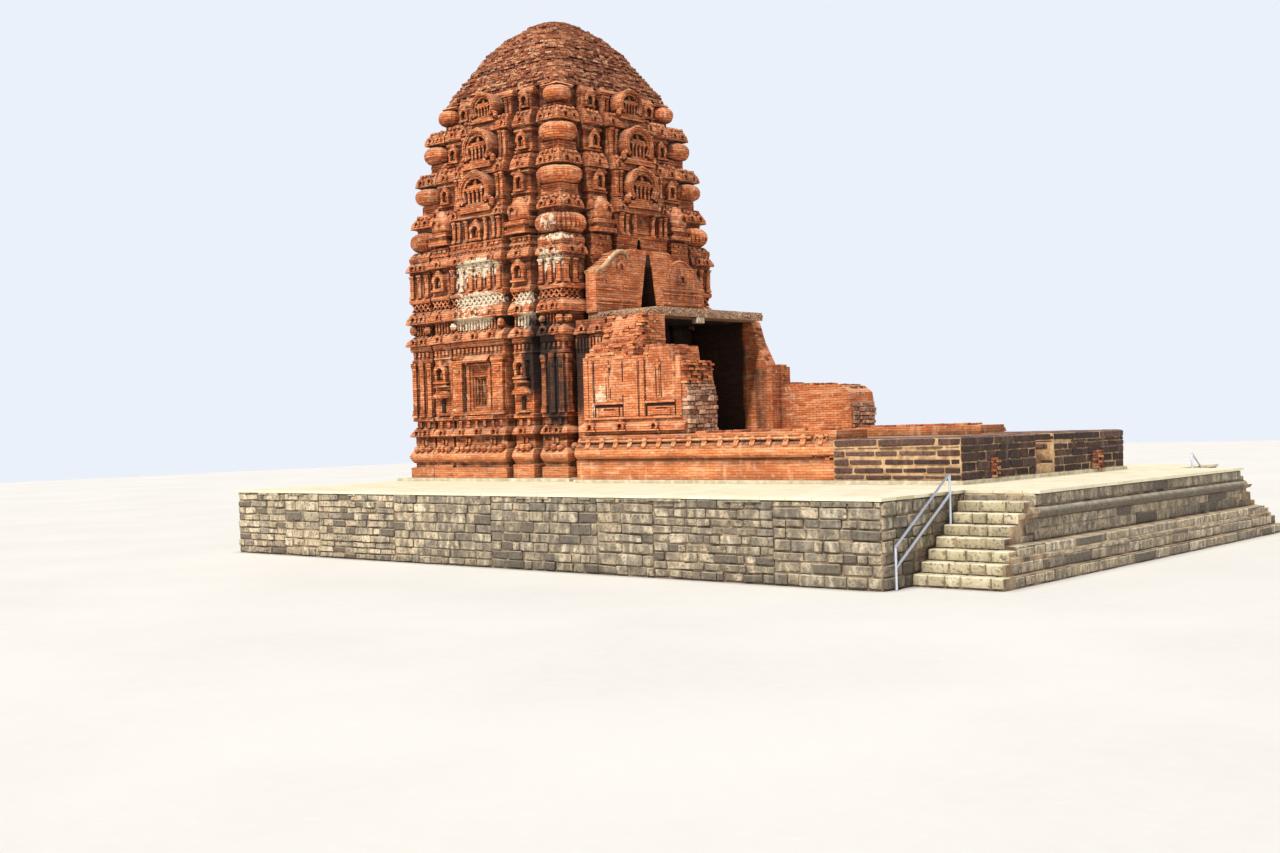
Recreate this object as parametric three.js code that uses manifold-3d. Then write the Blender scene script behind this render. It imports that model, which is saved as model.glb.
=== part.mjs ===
// A brick tower temple with the ruin of its hall, on a stone platform.
// Millimetres, +X from the tower to the hall's front, +Y north, +Z up.
// The origin lies at ground level, under the middle of the tower.
import * as THREE from 'three';
import { mergeVertices } from 'three/addons/utils/BufferGeometryUtils.js';
import Module from 'manifold-3d';

const wasm = await Module();
wasm.setup();

// Driving dimensions

const GAP = 0.3;

const GROUND = 0;
const PLATFORM = { west: -3750, east: 17000, south: -9150, north: 7600, top: 1715 };
const PAVING = { thickness: 60, overhang: 50 };
const TERRACE = { east: 18500, south: -6120, north: 4950, overhang: 150 };
const STAIR = { steps: 8, tread: 290 };
const RAIL = {
  radius: 26, height: 990, footHeight: 800, spacing: 390, x: 17110, sides: 8,
  topStep: 5, topSetback: 2.4 * STAIR.tread, footSetback: 420,
};

const FOOTING = { height: 85, reach: 170, hallReach: 90, frontReach: 60 };
const FOOT = PLATFORM.top + FOOTING.height;

const TOWER = { core: 3040, corner: 3220, cornerFrom: 2350, side: 3350, sideFrom: 1330, sideTo: 2090 };
const CENTRE_BAY = { half: 1100, reach: 3480 };
const RETURN = 0.35;

const SANCTUM = { half: 1500, floor: 2850 };
const EAST_FACE = 3360;
const WALL = { foot: 2850, top: 5760 };
const CORNICE = { middle: 6420, top: 7240 };
const SHAFT = { low: 1500, middle: 1300, high: 1050 };

const DOORWAY = { half: 750, top: 5150, jamb: 270, depth: 510, sill: 100, lintel: 200 };
const WINDOW = { width: 1000, foot: 3700, top: 5120, pocket: 200, proud: 40 };
const WINDOW_STEPS = [
  { side: 150, foot: 60, top: 120, depth: 60 },
  { side: 230, foot: 140, top: 230, depth: 110 },
  { side: 300, foot: 220, top: 320, depth: 170 },
];

const SLIT = { foot: CORNICE.middle, apex: 8600, middle: -150, footHalf: 450, apexHalf: 55 };
const GABLE = { reach: 3750, south: -2450, north: 2300, foot: 6384, top: 8240 };
const GABLE_BROKEN_TOP = [
  [2300, 7250], [1900, 7800], [1300, 8060], [900, 7960], [700, 8240], [-980, 8240], [-1080, 8020],
  [-1320, 8210], [-1660, 8100], [-2010, 7800], [-2450, 7540],
];

const NECK = { east: 4600, outer: 2900, cut: 3100, overlap: 50 };
const HALL = { outer: 4030, face: 3950, inner: 2750, east: 15900, brickEast: 12650 };
const HALL_FLOOR = 2700;
const HALL_PLINTH_TOP = 2950;
const STONE_PLINTH = { outer: 4180, top: 2730, inner: 14600 };
const ENTRANCE = { south: -700, north: 250, steps: 4 };
const PORCH = {
  inner: 2300, top: 6150, slab: 230, slabSouth: -2400, slabNorth: 2300, east: 5930, southEast: 6100,
  northEast: 6200, northUpper: 4830,
};

const STOREYS = [
  { name: 'first_storey', foot: 7240, neck: 8020, eave: 8280, top: 8630, reach: 3220 },
  { name: 'second_storey', foot: 8630, neck: 9330, eave: 9630, top: 9770, reach: 3120,
    cushion: { foot: 8630, top: 9210, radius: 700, centre: 2710 } },
  { name: 'third_storey', foot: 9770, neck: 10600, eave: 10900, top: 11000, reach: 3000,
    cushion: { foot: 10080, top: 10550, radius: 640, centre: 2630 } },
  { name: 'fourth_storey', foot: 11000, neck: 11860, eave: 12200, top: 12300, reach: 2760,
    cushion: { foot: 11340, top: 11815, radius: 540, centre: 2490 } },
  { name: 'fifth_storey', foot: 12300, neck: 12940, eave: 13020, top: 13060, reach: 2440,
    cushion: { foot: 12510, top: 12930, radius: 400, centre: 2260 } },
];

const ARCHES = [
  { storey: 1, foot: 9520, top: 10720, width: 1300, proud: 160 },
  { storey: 2, foot: 10780, top: 11960, width: 1200, proud: 150 },
  { storey: 3, foot: 12160, top: 13040, width: 950, proud: 130 },
];

// Heights, and how far the dome reaches towards a face and towards a corner there.
// It was patched in lifts, and each lift starts on a narrow ledge.
const CROWN = [
  { z: 13060, face: 2470, corner: 3360 },
  { z: 13350, face: 2415, corner: 3190 },
  { z: 13375, face: 2355, corner: 3125 },
  { z: 13720, face: 2205, corner: 2850 },
  { z: 13745, face: 2145, corner: 2780 },
  { z: 14100, face: 2005, corner: 2520 },
  { z: 14125, face: 1945, corner: 2450 },
  { z: 14550, face: 1775, corner: 2140 },
  { z: 14575, face: 1710, corner: 2065 },
  { z: 14980, face: 1385, corner: 1550 },
  { z: 15005, face: 1315, corner: 1470 },
  { z: 15300, face: 920, corner: 985 },
  { z: 15500, face: 520, corner: 535 },
];
const CROWN_SIDES = 32;
const CROWN_TOP = 15580;
const CROWN_CAVITY = { half: 1000, top: 14100 };

// Materials

function finish(colour, roughness = 0.9, metalness = 0) {
  return new THREE.MeshStandardMaterial({ color: colour, roughness, metalness });
}

const FINISH = {
  brick: () => finish(0xb5573a),
  weatheredBrick: () => finish(0x9c5a42),
  greyStone: () => finish(0x8d9091),
  paleStone: () => finish(0xe2d8c2),
  darkStone: () => finish(0x5a454a),
  slab: () => finish(0x9a8f84),
  doorStone: () => finish(0x6b5248),
  steel: () => finish(0xb9c2d0, 0.35, 0.9),
};

// Solids

// Solids of one piece run into each other by this much, and cutters run past what they cut.
const OVERLAP = 10;
const BEYOND = 600;

function toSolid(geometry) {
  geometry.deleteAttribute('normal');
  geometry.deleteAttribute('uv');
  const merged = mergeVertices(geometry, 0.01);
  const mesh = new wasm.Mesh({
    numProp: 3,
    vertProperties: new Float32Array(merged.attributes.position.array),
    triVerts: new Uint32Array(merged.index.array),
  });
  mesh.merge();
  return new wasm.Manifold(mesh);
}

function toMesh(name, solid, material) {
  const data = solid.getMesh();
  const geometry = new THREE.BufferGeometry();
  geometry.setAttribute('position', new THREE.BufferAttribute(new Float32Array(data.vertProperties), 3));
  geometry.setIndex(new THREE.BufferAttribute(new Uint32Array(data.triVerts), 1));
  geometry.computeVertexNormals();
  const mesh = new THREE.Mesh(geometry, material);
  mesh.name = name;
  return mesh;
}

function union(solids) {
  return solids.reduce((whole, next) => whole.add(next));
}

function box(x0, x1, y0, y1, z0, z1) {
  const geometry = new THREE.BoxGeometry(x1 - x0, y1 - y0, z1 - z0);
  geometry.translate((x0 + x1) / 2, (y0 + y1) / 2, (z0 + z1) / 2);
  return toSolid(geometry);
}

function polygon(points) {
  return new THREE.Shape(points.map(([u, v]) => new THREE.Vector2(u, v)));
}

function extrude(shape, depth, curveSegments = 6) {
  return new THREE.ExtrudeGeometry(shape, { depth, bevelEnabled: false, curveSegments });
}

// The outline lies in the plane of Y and Z.
function alongX(shape, x0, x1, curveSegments) {
  const geometry = extrude(shape, x1 - x0, curveSegments);
  const turn = new THREE.Matrix4().makeBasis(
    new THREE.Vector3(0, 1, 0), new THREE.Vector3(0, 0, 1), new THREE.Vector3(1, 0, 0));
  geometry.applyMatrix4(turn);
  geometry.translate(x0, 0, 0);
  return toSolid(geometry);
}

// The outline lies in the plane of X and Z.
function alongY(shape, y0, y1, curveSegments) {
  const geometry = extrude(shape, y1 - y0, curveSegments);
  const turn = new THREE.Matrix4().makeBasis(
    new THREE.Vector3(1, 0, 0), new THREE.Vector3(0, 0, 1), new THREE.Vector3(0, -1, 0));
  geometry.applyMatrix4(turn);
  geometry.translate(0, y1, 0);
  return toSolid(geometry);
}

function mirrored(points) {
  return points.map(([u, v]) => [-u, v]).reverse();
}

// A profile is a list of heights, each with how far the moulding stands out there.

function profileShape(low, high, profile, lowReach, highReach) {
  const right = profile.map(([z, out]) => [high + highReach * out, z]);
  const left = profile.map(([z, out]) => [low - lowReach * out, z]).reverse();
  return polygon([...right, ...left]);
}

function mouldedBlock([x0, x1, y0, y1], profile, reach = {}) {
  const { west = 1, east = 1, south = 1, north = 1 } = reach;
  const acrossX = alongY(profileShape(x0, x1, profile, west, east), y0 - BEYOND, y1 + BEYOND);
  const acrossY = alongX(profileShape(y0, y1, profile, south, north), x0 - BEYOND, x1 + BEYOND);
  return acrossX.intersect(acrossY);
}

// Each side of the tower has a centre bay, two side bays and two corner bays.

function sized(plan, scale) {
  return Object.fromEntries(Object.entries(plan).map(([key, value]) => [key, value * scale]));
}

function cornerBays(tower, profile) {
  const bays = [];
  for (const east of [false, true]) {
    for (const north of [false, true]) {
      const [x0, x1] = east ? [tower.cornerFrom, tower.corner] : [-tower.corner, -tower.cornerFrom];
      const [y0, y1] = north ? [tower.cornerFrom, tower.corner] : [-tower.corner, -tower.cornerFrom];
      bays.push(mouldedBlock([x0, x1, y0, y1], profile, {
        west: east ? RETURN : 1,
        east: east ? 1 : RETURN,
        south: north ? RETURN : 1,
        north: north ? 1 : RETURN,
      }));
    }
  }
  return bays;
}

function throughBays(from, to, reach, profile) {
  const alongNorth = { west: RETURN, east: RETURN };
  const alongEast = { south: RETURN, north: RETURN };
  return [
    mouldedBlock([from, to, -reach, reach], profile, alongNorth),
    mouldedBlock([-reach, reach, from, to], profile, alongEast),
  ];
}

function towerBand(scale, profile, cornerProfile = profile) {
  const tower = sized(TOWER, scale);
  const centre = sized(CENTRE_BAY, scale);
  return union([
    mouldedBlock([-tower.core, tower.core, -tower.core, tower.core], profile),
    ...throughBays(-centre.half, centre.half, centre.reach, profile),
    ...throughBays(tower.sideFrom, tower.sideTo, tower.side, profile),
    ...throughBays(-tower.sideTo, -tower.sideFrom, tower.side, profile),
    ...cornerBays(tower, cornerProfile),
  ]);
}

function shaft(half, z0, z1) {
  return box(-half, half, -half, half, z0, z1);
}

// The porch and the gable wall meet the tower on one flat face.
const porchCut = box(EAST_FACE, NECK.east, -NECK.cut, NECK.cut, GROUND, CORNICE.middle);
const gableCut = box(EAST_FACE, NECK.east, GABLE.south - GAP, GABLE.north + GAP, CORNICE.middle - 1,
  GABLE.top + GAP);

const slitShape = polygon([
  [SLIT.middle - SLIT.footHalf, SLIT.foot], [SLIT.middle + SLIT.footHalf, SLIT.foot],
  [SLIT.middle + SLIT.apexHalf, SLIT.apex], [SLIT.middle - SLIT.apexHalf, SLIT.apex],
]);
const slit = alongX(slitShape, SHAFT.low - BEYOND, NECK.east);

const group = new THREE.Group();

function add(name, solid, material) {
  group.add(toMesh(name, solid, material));
}

// Platform, terrace and stairs

const pavingFoot = PLATFORM.top - PAVING.thickness;

function platformBody() {
  return box(PLATFORM.west, PLATFORM.east, PLATFORM.south, PLATFORM.north, GROUND, pavingFoot);
}

const terraceProfile = [
  [0, 420], [220, 420], [220, 300], [520, 300], [560, 220], [600, 240], [700, 240],
  [740, 0], [1180, 0], [1210, 110], [1290, 150], [1370, 110], [1400, 40], [pavingFoot, 40],
];

function terraceBlock(y0, y1) {
  const shape = profileShape(PLATFORM.east + GAP, TERRACE.east, terraceProfile, 0, 1);
  return alongY(shape, y0, y1);
}

function paving() {
  const edge = PAVING.overhang;
  const main = box(PLATFORM.west - edge, PLATFORM.east + edge, PLATFORM.south - edge, PLATFORM.north + edge,
    pavingFoot, PLATFORM.top);
  const front = box(0, TERRACE.east + TERRACE.overhang, TERRACE.south, TERRACE.north, pavingFoot,
    PLATFORM.top);
  return main.add(front);
}

// The flight goes down from the edge at y = 0 towards negative y.
function flightShape() {
  const riser = PLATFORM.top / STAIR.steps;
  const points = [[0, GROUND]];
  for (let step = STAIR.steps - 1; step >= 1; step -= 1) {
    const back = -(STAIR.steps - 1 - step) * STAIR.tread;
    points.push([back, step * riser], [back - STAIR.tread, step * riser]);
  }
  points.push([-(STAIR.steps - 1) * STAIR.tread, GROUND]);
  return points;
}

function flight(edge, side) {
  const outline = flightShape().map(([y, z]) => [edge + side * (GAP - y), z]);
  const ordered = side > 0 ? outline : outline.reverse();
  const length = STAIR.steps * STAIR.tread;
  const [y0, y1] = side > 0 ? [edge, edge + length] : [edge - length, edge];
  const steps = alongX(polygon(ordered), PLATFORM.east, TERRACE.east + BEYOND);
  const clearOfPaving = box(PLATFORM.east, PLATFORM.east + PAVING.overhang + GAP, y0 - 1, y1 + 1,
    pavingFoot - GAP, PLATFORM.top);
  return steps.intersect(terraceBlock(y0, y1)).subtract(clearOfPaving);
}

// Handrails: two sloping pipes between two posts, beside the platform wall

function pipe(from, to) {
  const path = new THREE.LineCurve3(from, to);
  const length = path.getLength();
  const geometry = new THREE.CylinderGeometry(RAIL.radius, RAIL.radius, length, RAIL.sides);
  const turn = new THREE.Quaternion().setFromUnitVectors(
    new THREE.Vector3(0, 1, 0), to.clone().sub(from).normalize());
  geometry.applyQuaternion(turn);
  const middle = path.getPoint(0.5);
  geometry.translate(middle.x, middle.y, middle.z);
  return toSolid(geometry);
}

function handrail(edge, side) {
  const riser = PLATFORM.top / STAIR.steps;
  const high = { y: edge + side * RAIL.topSetback, z: riser * RAIL.topStep + GAP };
  const low = { y: edge + side * (STAIR.tread * STAIR.steps + RAIL.footSetback), z: GROUND + GAP };
  const at = (end, height) => new THREE.Vector3(RAIL.x, end.y, end.z + height);
  return union([
    pipe(at(high, 0), at(high, RAIL.height)),
    pipe(at(low, 0), at(low, RAIL.footHeight)),
    pipe(at(high, RAIL.height), at(low, RAIL.footHeight)),
    pipe(at(high, RAIL.height - RAIL.spacing), at(low, RAIL.footHeight - RAIL.spacing)),
  ]);
}

add('platform_body', platformBody(), FINISH.greyStone());
add('platform_terrace', terraceBlock(TERRACE.south, TERRACE.north), FINISH.greyStone());
add('platform_paving', paving(), FINISH.paleStone());
add('south_stair', flight(TERRACE.south, -1), FINISH.paleStone());
add('north_stair', flight(TERRACE.north, 1), FINISH.paleStone());
add('south_handrail', handrail(TERRACE.south, -1), FINISH.steel());
add('north_handrail', handrail(TERRACE.north, 1), FINISH.steel());

// Footing course under the brickwork

function footingCourse() {
  const reach = FOOTING.reach;
  const tower = CENTRE_BAY.reach + reach;
  const hall = STONE_PLINTH.outer + FOOTING.hallReach;
  return union([
    box(-tower, tower, -tower, tower, PLATFORM.top, FOOT),
    box(0, NECK.east, -NECK.outer - reach, NECK.outer + reach, PLATFORM.top, FOOT),
    box(NECK.east - reach, HALL.east + FOOTING.frontReach, -hall, hall, PLATFORM.top, FOOT),
  ]);
}

add('footing_course', footingCourse(), FINISH.paleStone());

// Tower plinth: a plain band, a round torus and a shadow course above it

const plinthProfile = [
  [FOOT, 110], [2140, 110], [2170, 40], [2290, 40], [2360, 100], [2580, 100], [2690, 30],
  [SANCTUM.floor, 20],
];

function towerPlinth() {
  return towerBand(1, plinthProfile).subtract(porchCut);
}

add('tower_plinth', towerPlinth(), FINISH.brick());

// Sanctum walls, from the base cornice to the first wall cornice

const wallProfile = [
  [WALL.foot, 10], [3010, 10], [3060, 80], [3180, 80], [3260, 10], [3500, 10], [3520, 50],
  [3610, 50], [3620, 0], [5290, 0], [5330, 40], [WALL.top, 40],
];

function windowPocket(quarterTurns) {
  const half = WINDOW.width / 2 + GAP;
  const geometry = new THREE.BoxGeometry(half * 2, WINDOW.pocket * 2, WINDOW.top - WINDOW.foot);
  geometry.translate(0, -CENTRE_BAY.reach, (WINDOW.top + WINDOW.foot) / 2);
  geometry.rotateZ(quarterTurns * Math.PI / 2);
  return toSolid(geometry);
}

const wallRing = [0, 2, 3].reduce(
  (ring, turn) => ring.subtract(windowPocket(turn)),
  towerBand(1, wallProfile).subtract(porchCut).subtract(shaft(SANCTUM.half, WALL.foot - 1, WALL.top + 1)));

const FAR = 5000;

function wallPart(x0, x1, y0, y1, z0 = WALL.foot - 1, z1 = WALL.top + 1) {
  return wallRing.intersect(box(x0, x1, y0, y1, z0, z1));
}

const inside = SANCTUM.half;
const beside = DOORWAY.half;
add('sanctum_wall_south', wallPart(-FAR, FAR, -FAR, -inside), FINISH.brick());
add('sanctum_wall_north', wallPart(-FAR, FAR, inside, FAR), FINISH.brick());
add('sanctum_wall_west', wallPart(-FAR, -inside, -inside + GAP, inside - GAP), FINISH.brick());
add('east_wall_south_of_door', wallPart(inside, FAR, -inside + GAP, -beside), FINISH.brick());
add('east_wall_north_of_door', wallPart(inside, FAR, beside, inside - GAP), FINISH.brick());
add('east_wall_over_door', wallPart(inside, FAR, -beside + GAP, beside - GAP, DOORWAY.top), FINISH.brick());

// Blind windows: nested frames set in the middle bays

function blindWindow(quarterTurns) {
  const half = WINDOW.width / 2;
  const back = CENTRE_BAY.reach - WINDOW.pocket + GAP;
  const front = CENTRE_BAY.reach + WINDOW.proud;
  const frame = new THREE.BoxGeometry(WINDOW.width, front - back, WINDOW.top - WINDOW.foot - GAP);
  frame.translate(0, -(front + back) / 2, (WINDOW.top + WINDOW.foot - GAP) / 2);
  frame.rotateZ(quarterTurns * Math.PI / 2);
  const recess = (side, foot, top, depth) => {
    const cut = new THREE.BoxGeometry((half - side) * 2, depth * 2, top - foot);
    cut.translate(0, -front, (top + foot) / 2);
    cut.rotateZ(quarterTurns * Math.PI / 2);
    return toSolid(cut);
  };
  return WINDOW_STEPS.reduce((window, { side, foot, top, depth }) => (
    window.subtract(recess(side, WINDOW.foot + foot, WINDOW.top - top, depth))), toSolid(frame));
}

add('blind_window_south', blindWindow(0), FINISH.brick());
add('blind_window_north', blindWindow(2), FINISH.brick());
add('blind_window_west', blindWindow(3), FINISH.brick());

// Door frame of stone

const doorWest = EAST_FACE - DOORWAY.depth;
const sillTop = SANCTUM.floor + DOORWAY.sill;
const lintelFoot = DOORWAY.top - DOORWAY.lintel;
const clearHalf = DOORWAY.half - DOORWAY.jamb;

function doorStone(y0, y1, z0, z1) {
  return box(doorWest, EAST_FACE, y0, y1, z0, z1);
}

const betweenWalls = [-beside + GAP, beside - GAP];
add('door_sill', doorStone(...betweenWalls, SANCTUM.floor, sillTop), FINISH.doorStone());
add('door_jamb_south', doorStone(-beside + GAP, -clearHalf, sillTop, lintelFoot), FINISH.doorStone());
add('door_jamb_north', doorStone(clearHalf, beside - GAP, sillTop, lintelFoot), FINISH.doorStone());
add('door_lintel', doorStone(...betweenWalls, lintelFoot, DOORWAY.top), FINISH.doorStone());

// Wall cornices and the friezes between them

const lowerCorniceProfile = [
  [WALL.top, 50], [5820, 110], [6060, 120], [6100, 10], [CORNICE.middle, 0],
];
const upperCorniceProfile = [
  [CORNICE.middle, 10], [6500, 90], [6680, 100], [6830, 20], [7070, 10], [7090, 60], [7200, 60],
  [CORNICE.top, 0],
];

function corniceRing(profile, foot, top) {
  return towerBand(1, profile).subtract(shaft(SHAFT.low, foot - 1, top + 1));
}

add('lower_wall_cornice', corniceRing(lowerCorniceProfile, WALL.top, CORNICE.middle).subtract(porchCut),
  FINISH.brick());
add('upper_wall_cornice',
  corniceRing(upperCorniceProfile, CORNICE.middle, CORNICE.top).subtract(gableCut).subtract(slit),
  FINISH.brick());

// Storeys of the spire, each with an eave, corner cushions and horseshoe arches

function cushion({ foot, top, radius, centre }, signX, signY) {
  const height = top - foot;
  const profile = [[0, 0], [0.84, 0], [1, 0.3], [1, 0.7], [0.84, 1], [0, 1]];
  const points = profile.map(([r, z]) => new THREE.Vector2(r * radius, z * height));
  const geometry = new THREE.LatheGeometry(points, 12);
  geometry.rotateX(Math.PI / 2);
  geometry.translate(signX * centre, signY * centre, foot);
  return toSolid(geometry);
}

function arch({ foot, top, width, proud, storey }, quarterTurns) {
  const reach = CENTRE_BAY.reach * STOREYS[storey].reach / TOWER.corner;
  const radius = width / 2;
  const centre = top - foot - radius;
  const start = -0.22 * Math.PI;
  const shape = new THREE.Shape();
  shape.moveTo(-radius * 0.92, 0);
  shape.lineTo(radius * 0.92, 0);
  shape.absarc(0, centre, radius, start, Math.PI - start, false);
  shape.closePath();
  const hollow = new THREE.Shape();
  hollow.absarc(0, centre, radius * 0.62, 0, Math.PI * 2, false);
  const place = (geometry, front) => {
    geometry.rotateX(Math.PI / 2);
    geometry.translate(0, front, foot);
    geometry.rotateZ(quarterTurns * Math.PI / 2);
    return toSolid(geometry);
  };
  const sunk = proud * 0.55;
  const slabOfArch = place(extrude(shape, proud + 700, 5), -reach + 700);
  const sunkDisc = place(extrude(hollow, sunk * 2, 4), -reach - proud + sunk);
  return { slabOfArch, sunkDisc };
}

function storeyRing(storey, index) {
  const { foot, neck, eave, top, reach, cushion: seat } = storey;
  const lip = neck + (eave - neck) * 0.2;
  const nose = neck + (eave - neck) * 0.5;
  const wall = [[foot, 0], [neck, 0], [lip, 80], [nose, 90], [eave, 10], [top, 0]];
  const corner = seat
    ? [[foot, -200], [seat.top, -200], [neck, -60], [lip, 50], [nose, 60], [eave, 0], [top, -60]]
    : wall;
  const scale = reach / TOWER.corner;
  let ring = towerBand(scale, wall, corner);
  if (seat) {
    for (const signX of [-1, 1]) {
      for (const signY of [-1, 1]) ring = ring.add(cushion(seat, signX, signY));
    }
  }
  const ownArches = ARCHES.flatMap((one) => [0, 1, 2, 3].map((turn) => arch(one, turn)));
  const zone = box(-FAR, FAR, -FAR, FAR, foot, top);
  for (const { slabOfArch, sunkDisc } of ownArches) {
    ring = ring.add(slabOfArch.intersect(zone)).subtract(sunkDisc.intersect(zone));
  }
  const half = [SHAFT.low, SHAFT.middle, SHAFT.middle, SHAFT.high, SHAFT.high][index];
  return ring.subtract(shaft(half, foot - 1, top + 1));
}

STOREYS.forEach((storey, index) => {
  let ring = storeyRing(storey, index);
  if (index === 0) ring = ring.subtract(gableCut).subtract(slit);
  add(storey.name, ring, FINISH.brick());
});

// Gable wall over the porch, with the tall slit

function gableWall() {
  const outline = polygon([[GABLE.south, GABLE.foot], [GABLE.north, GABLE.foot], ...GABLE_BROKEN_TOP]);
  return alongX(outline, EAST_FACE + GAP, GABLE.reach).subtract(slit);
}

add('slit_gable_wall', gableWall(), FINISH.brick());

// Crown: a dome of bare rubble brick, square below and round above

function crown() {
  const foot = CROWN[0].z;
  const points = [new THREE.Vector2(0, foot), ...CROWN.map(({ z, face }) => new THREE.Vector2(face, z)),
    new THREE.Vector2(0, CROWN_TOP)];
  const geometry = new THREE.LatheGeometry(points, CROWN_SIDES);
  geometry.rotateX(Math.PI / 2);
  const position = geometry.attributes.position;
  for (let i = 0; i < position.count; i += 1) {
    const x = position.getX(i);
    const y = position.getY(i);
    const level = CROWN.find(({ z }) => Math.abs(z - position.getZ(i)) < 1);
    if (level) {
      const power = 1 / (0.5 - Math.log2(level.corner / level.face));
      const angle = Math.atan2(y, x);
      const sum = Math.abs(Math.cos(angle)) ** power + Math.abs(Math.sin(angle)) ** power;
      const square = sum ** (-1 / power);
      position.setXY(i, x * square, y * square);
    }
  }
  geometry.translate(0, 0, GAP);
  const { half, top } = CROWN_CAVITY;
  return toSolid(geometry).subtract(shaft(half, foot - 1, top));
}

add('tower_crown', crown(), FINISH.weatheredBrick());

// Hall plinth: brick near the tower, dark stone towards the front

const hallPlinthProfile = [
  [FOOT, 120], [2260, 120], [2280, 30], [2350, 30], [2400, 130], [2540, 155], [2680, 130], [2730, 20],
  [HALL_PLINTH_TOP, 0],
];

function hallPlinth(side) {
  const span = (a, b) => (side < 0 ? [-b, -a] : [a, b]);
  const reach = (west) => ({ west, east: 0, south: side < 0 ? 1 : 0, north: side < 0 ? 0 : 1 });
  const hall = mouldedBlock([NECK.east, HALL.brickEast, ...span(HALL.inner, HALL.outer)], hallPlinthProfile,
    reach(1));
  const neck = mouldedBlock([EAST_FACE + GAP, NECK.east + NECK.overlap, ...span(HALL.inner, NECK.outer)],
    hallPlinthProfile, reach(0));
  return hall.add(neck);
}

function stonePlinth(side) {
  const span = (a, b) => (side < 0 ? [-b, -a] : [a, b]);
  const entrance = side < 0 ? -ENTRANCE.south : ENTRANCE.north;
  const heights = [FOOT, STONE_PLINTH.top];
  const flank = box(HALL.brickEast + GAP, HALL.east, ...span(HALL.inner, STONE_PLINTH.outer), ...heights);
  const front = box(STONE_PLINTH.inner, HALL.east, ...span(entrance, HALL.inner + OVERLAP), ...heights);
  return flank.add(front);
}

function hallFloor() {
  const half = HALL.inner - GAP;
  return box(EAST_FACE + GAP, STONE_PLINTH.inner - GAP, -half, half, FOOT, HALL_FLOOR);
}

function entranceSteps() {
  const riser = (HALL_FLOOR - FOOT) / ENTRANCE.steps;
  const tread = (HALL.east - STONE_PLINTH.inner) / ENTRANCE.steps;
  const points = [[STONE_PLINTH.inner, FOOT]];
  points.push([HALL.east - 1, FOOT]);
  for (let step = 1; step <= ENTRANCE.steps; step += 1) {
    points.push([HALL.east - 1 - (step - 1) * tread, FOOT + step * riser]);
    points.push([HALL.east - 1 - step * tread + (step === ENTRANCE.steps ? 1 : 0), FOOT + step * riser]);
  }
  return alongY(polygon(points), ENTRANCE.south + GAP, ENTRANCE.north - GAP);
}

add('hall_plinth_south', hallPlinth(-1), FINISH.brick());
add('hall_plinth_north', hallPlinth(1), FINISH.brick());
add('stone_plinth_south', stonePlinth(-1), FINISH.darkStone());
add('stone_plinth_north', stonePlinth(1), FINISH.darkStone());
add('hall_floor', hallFloor(), FINISH.paleStone());
add('entrance_steps', entranceSteps(), FINISH.paleStone());

// What still stands of the hall walls, broken off in steps

const hallWallProfile = [
  [HALL_PLINTH_TOP, 0], [3030, 10], [3060, 120], [3180, 120], [3280, 20], [3420, 0], [5300, 0],
];

const HALL_WALL_TOP = 4950;
const NECK_SETBACK = 150;
const wallWest = NECK.east - 200;
const southRuin = [
  [wallWest, HALL_PLINTH_TOP], [8150, HALL_PLINTH_TOP], [8150, 4000], [8050, 4300], [8030, 4780],
  [7640, 4820], [7600, 5200], [6950, 5200], [6900, HALL_WALL_TOP], [wallWest, HALL_WALL_TOP],
];
// Above the south wall the broken courses step back to the porch: an outline in Y and Z.
const UPPER_THICKNESS = 500;
const steppedBack = [
  [HALL.face - UPPER_THICKNESS, HALL_WALL_TOP - OVERLAP], [HALL.face, HALL_WALL_TOP - OVERLAP],
  [HALL.face, 5020], [3850, 5030], [3830, 5140], [3690, 5150], [3670, 5270], [3550, 5280], [3530, 5380],
  [HALL.face - UPPER_THICKNESS, 5390],
];
const steppedEast = 6300;
const northRuin = [
  [wallWest, HALL_PLINTH_TOP], [5400, HALL_PLINTH_TOP], [5400, 4830], [4900, HALL_WALL_TOP],
  [wallWest, HALL_WALL_TOP],
];
const PIER = { west: 5390, east: 6260, north: 3150, top: 4800 };

function hallWall(side, ruin) {
  const [y0, y1] = side < 0 ? [-HALL.face, -HALL.inner] : [HALL.inner, HALL.face];
  const reach = { west: 1, east: 0, south: side < 0 ? 1 : 0, north: side < 0 ? 0 : 1 };
  return mouldedBlock([NECK.east, HALL.brickEast, y0, y1], hallWallProfile, reach)
    .intersect(alongY(polygon(ruin), y0 - BEYOND, y1 + BEYOND));
}

function southWall() {
  const upper = alongX(polygon(mirrored(steppedBack)), NECK.east, steppedEast);
  return hallWall(-1, southRuin).add(upper);
}

function northWall() {
  const pier = box(PIER.west, PIER.east, HALL.inner, PIER.north, HALL_PLINTH_TOP, PIER.top);
  return hallWall(1, northRuin).add(pier);
}

const lowRuin = [
  [PIER.east + GAP, HALL_PLINTH_TOP], [8620, HALL_PLINTH_TOP], [8640, 3500], [8560, 3980], [8300, 4170],
  [6900, 4250], [PIER.east + GAP, 4290],
];

add('hall_wall_south', southWall(), FINISH.brick());
add('hall_wall_north', northWall(), FINISH.brick());
add('hall_low_wall_north', alongY(polygon(lowRuin), HALL.inner, HALL.face), FINISH.brick());

// Porch walls carry the roof slab and step back over the hall walls

const inFrontOf = HALL.face - UPPER_THICKNESS - GAP;
const behindFace = HALL.inner - NECK.overlap;
const brokenSlope = [
  [behindFace, HALL_WALL_TOP + GAP], [inFrontOf, HALL_WALL_TOP + GAP], [inFrontOf, 5350], [3150, 5500],
  [3020, 5850], [NECK.outer, PORCH.top], [behindFace, PORCH.top],
];

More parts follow.
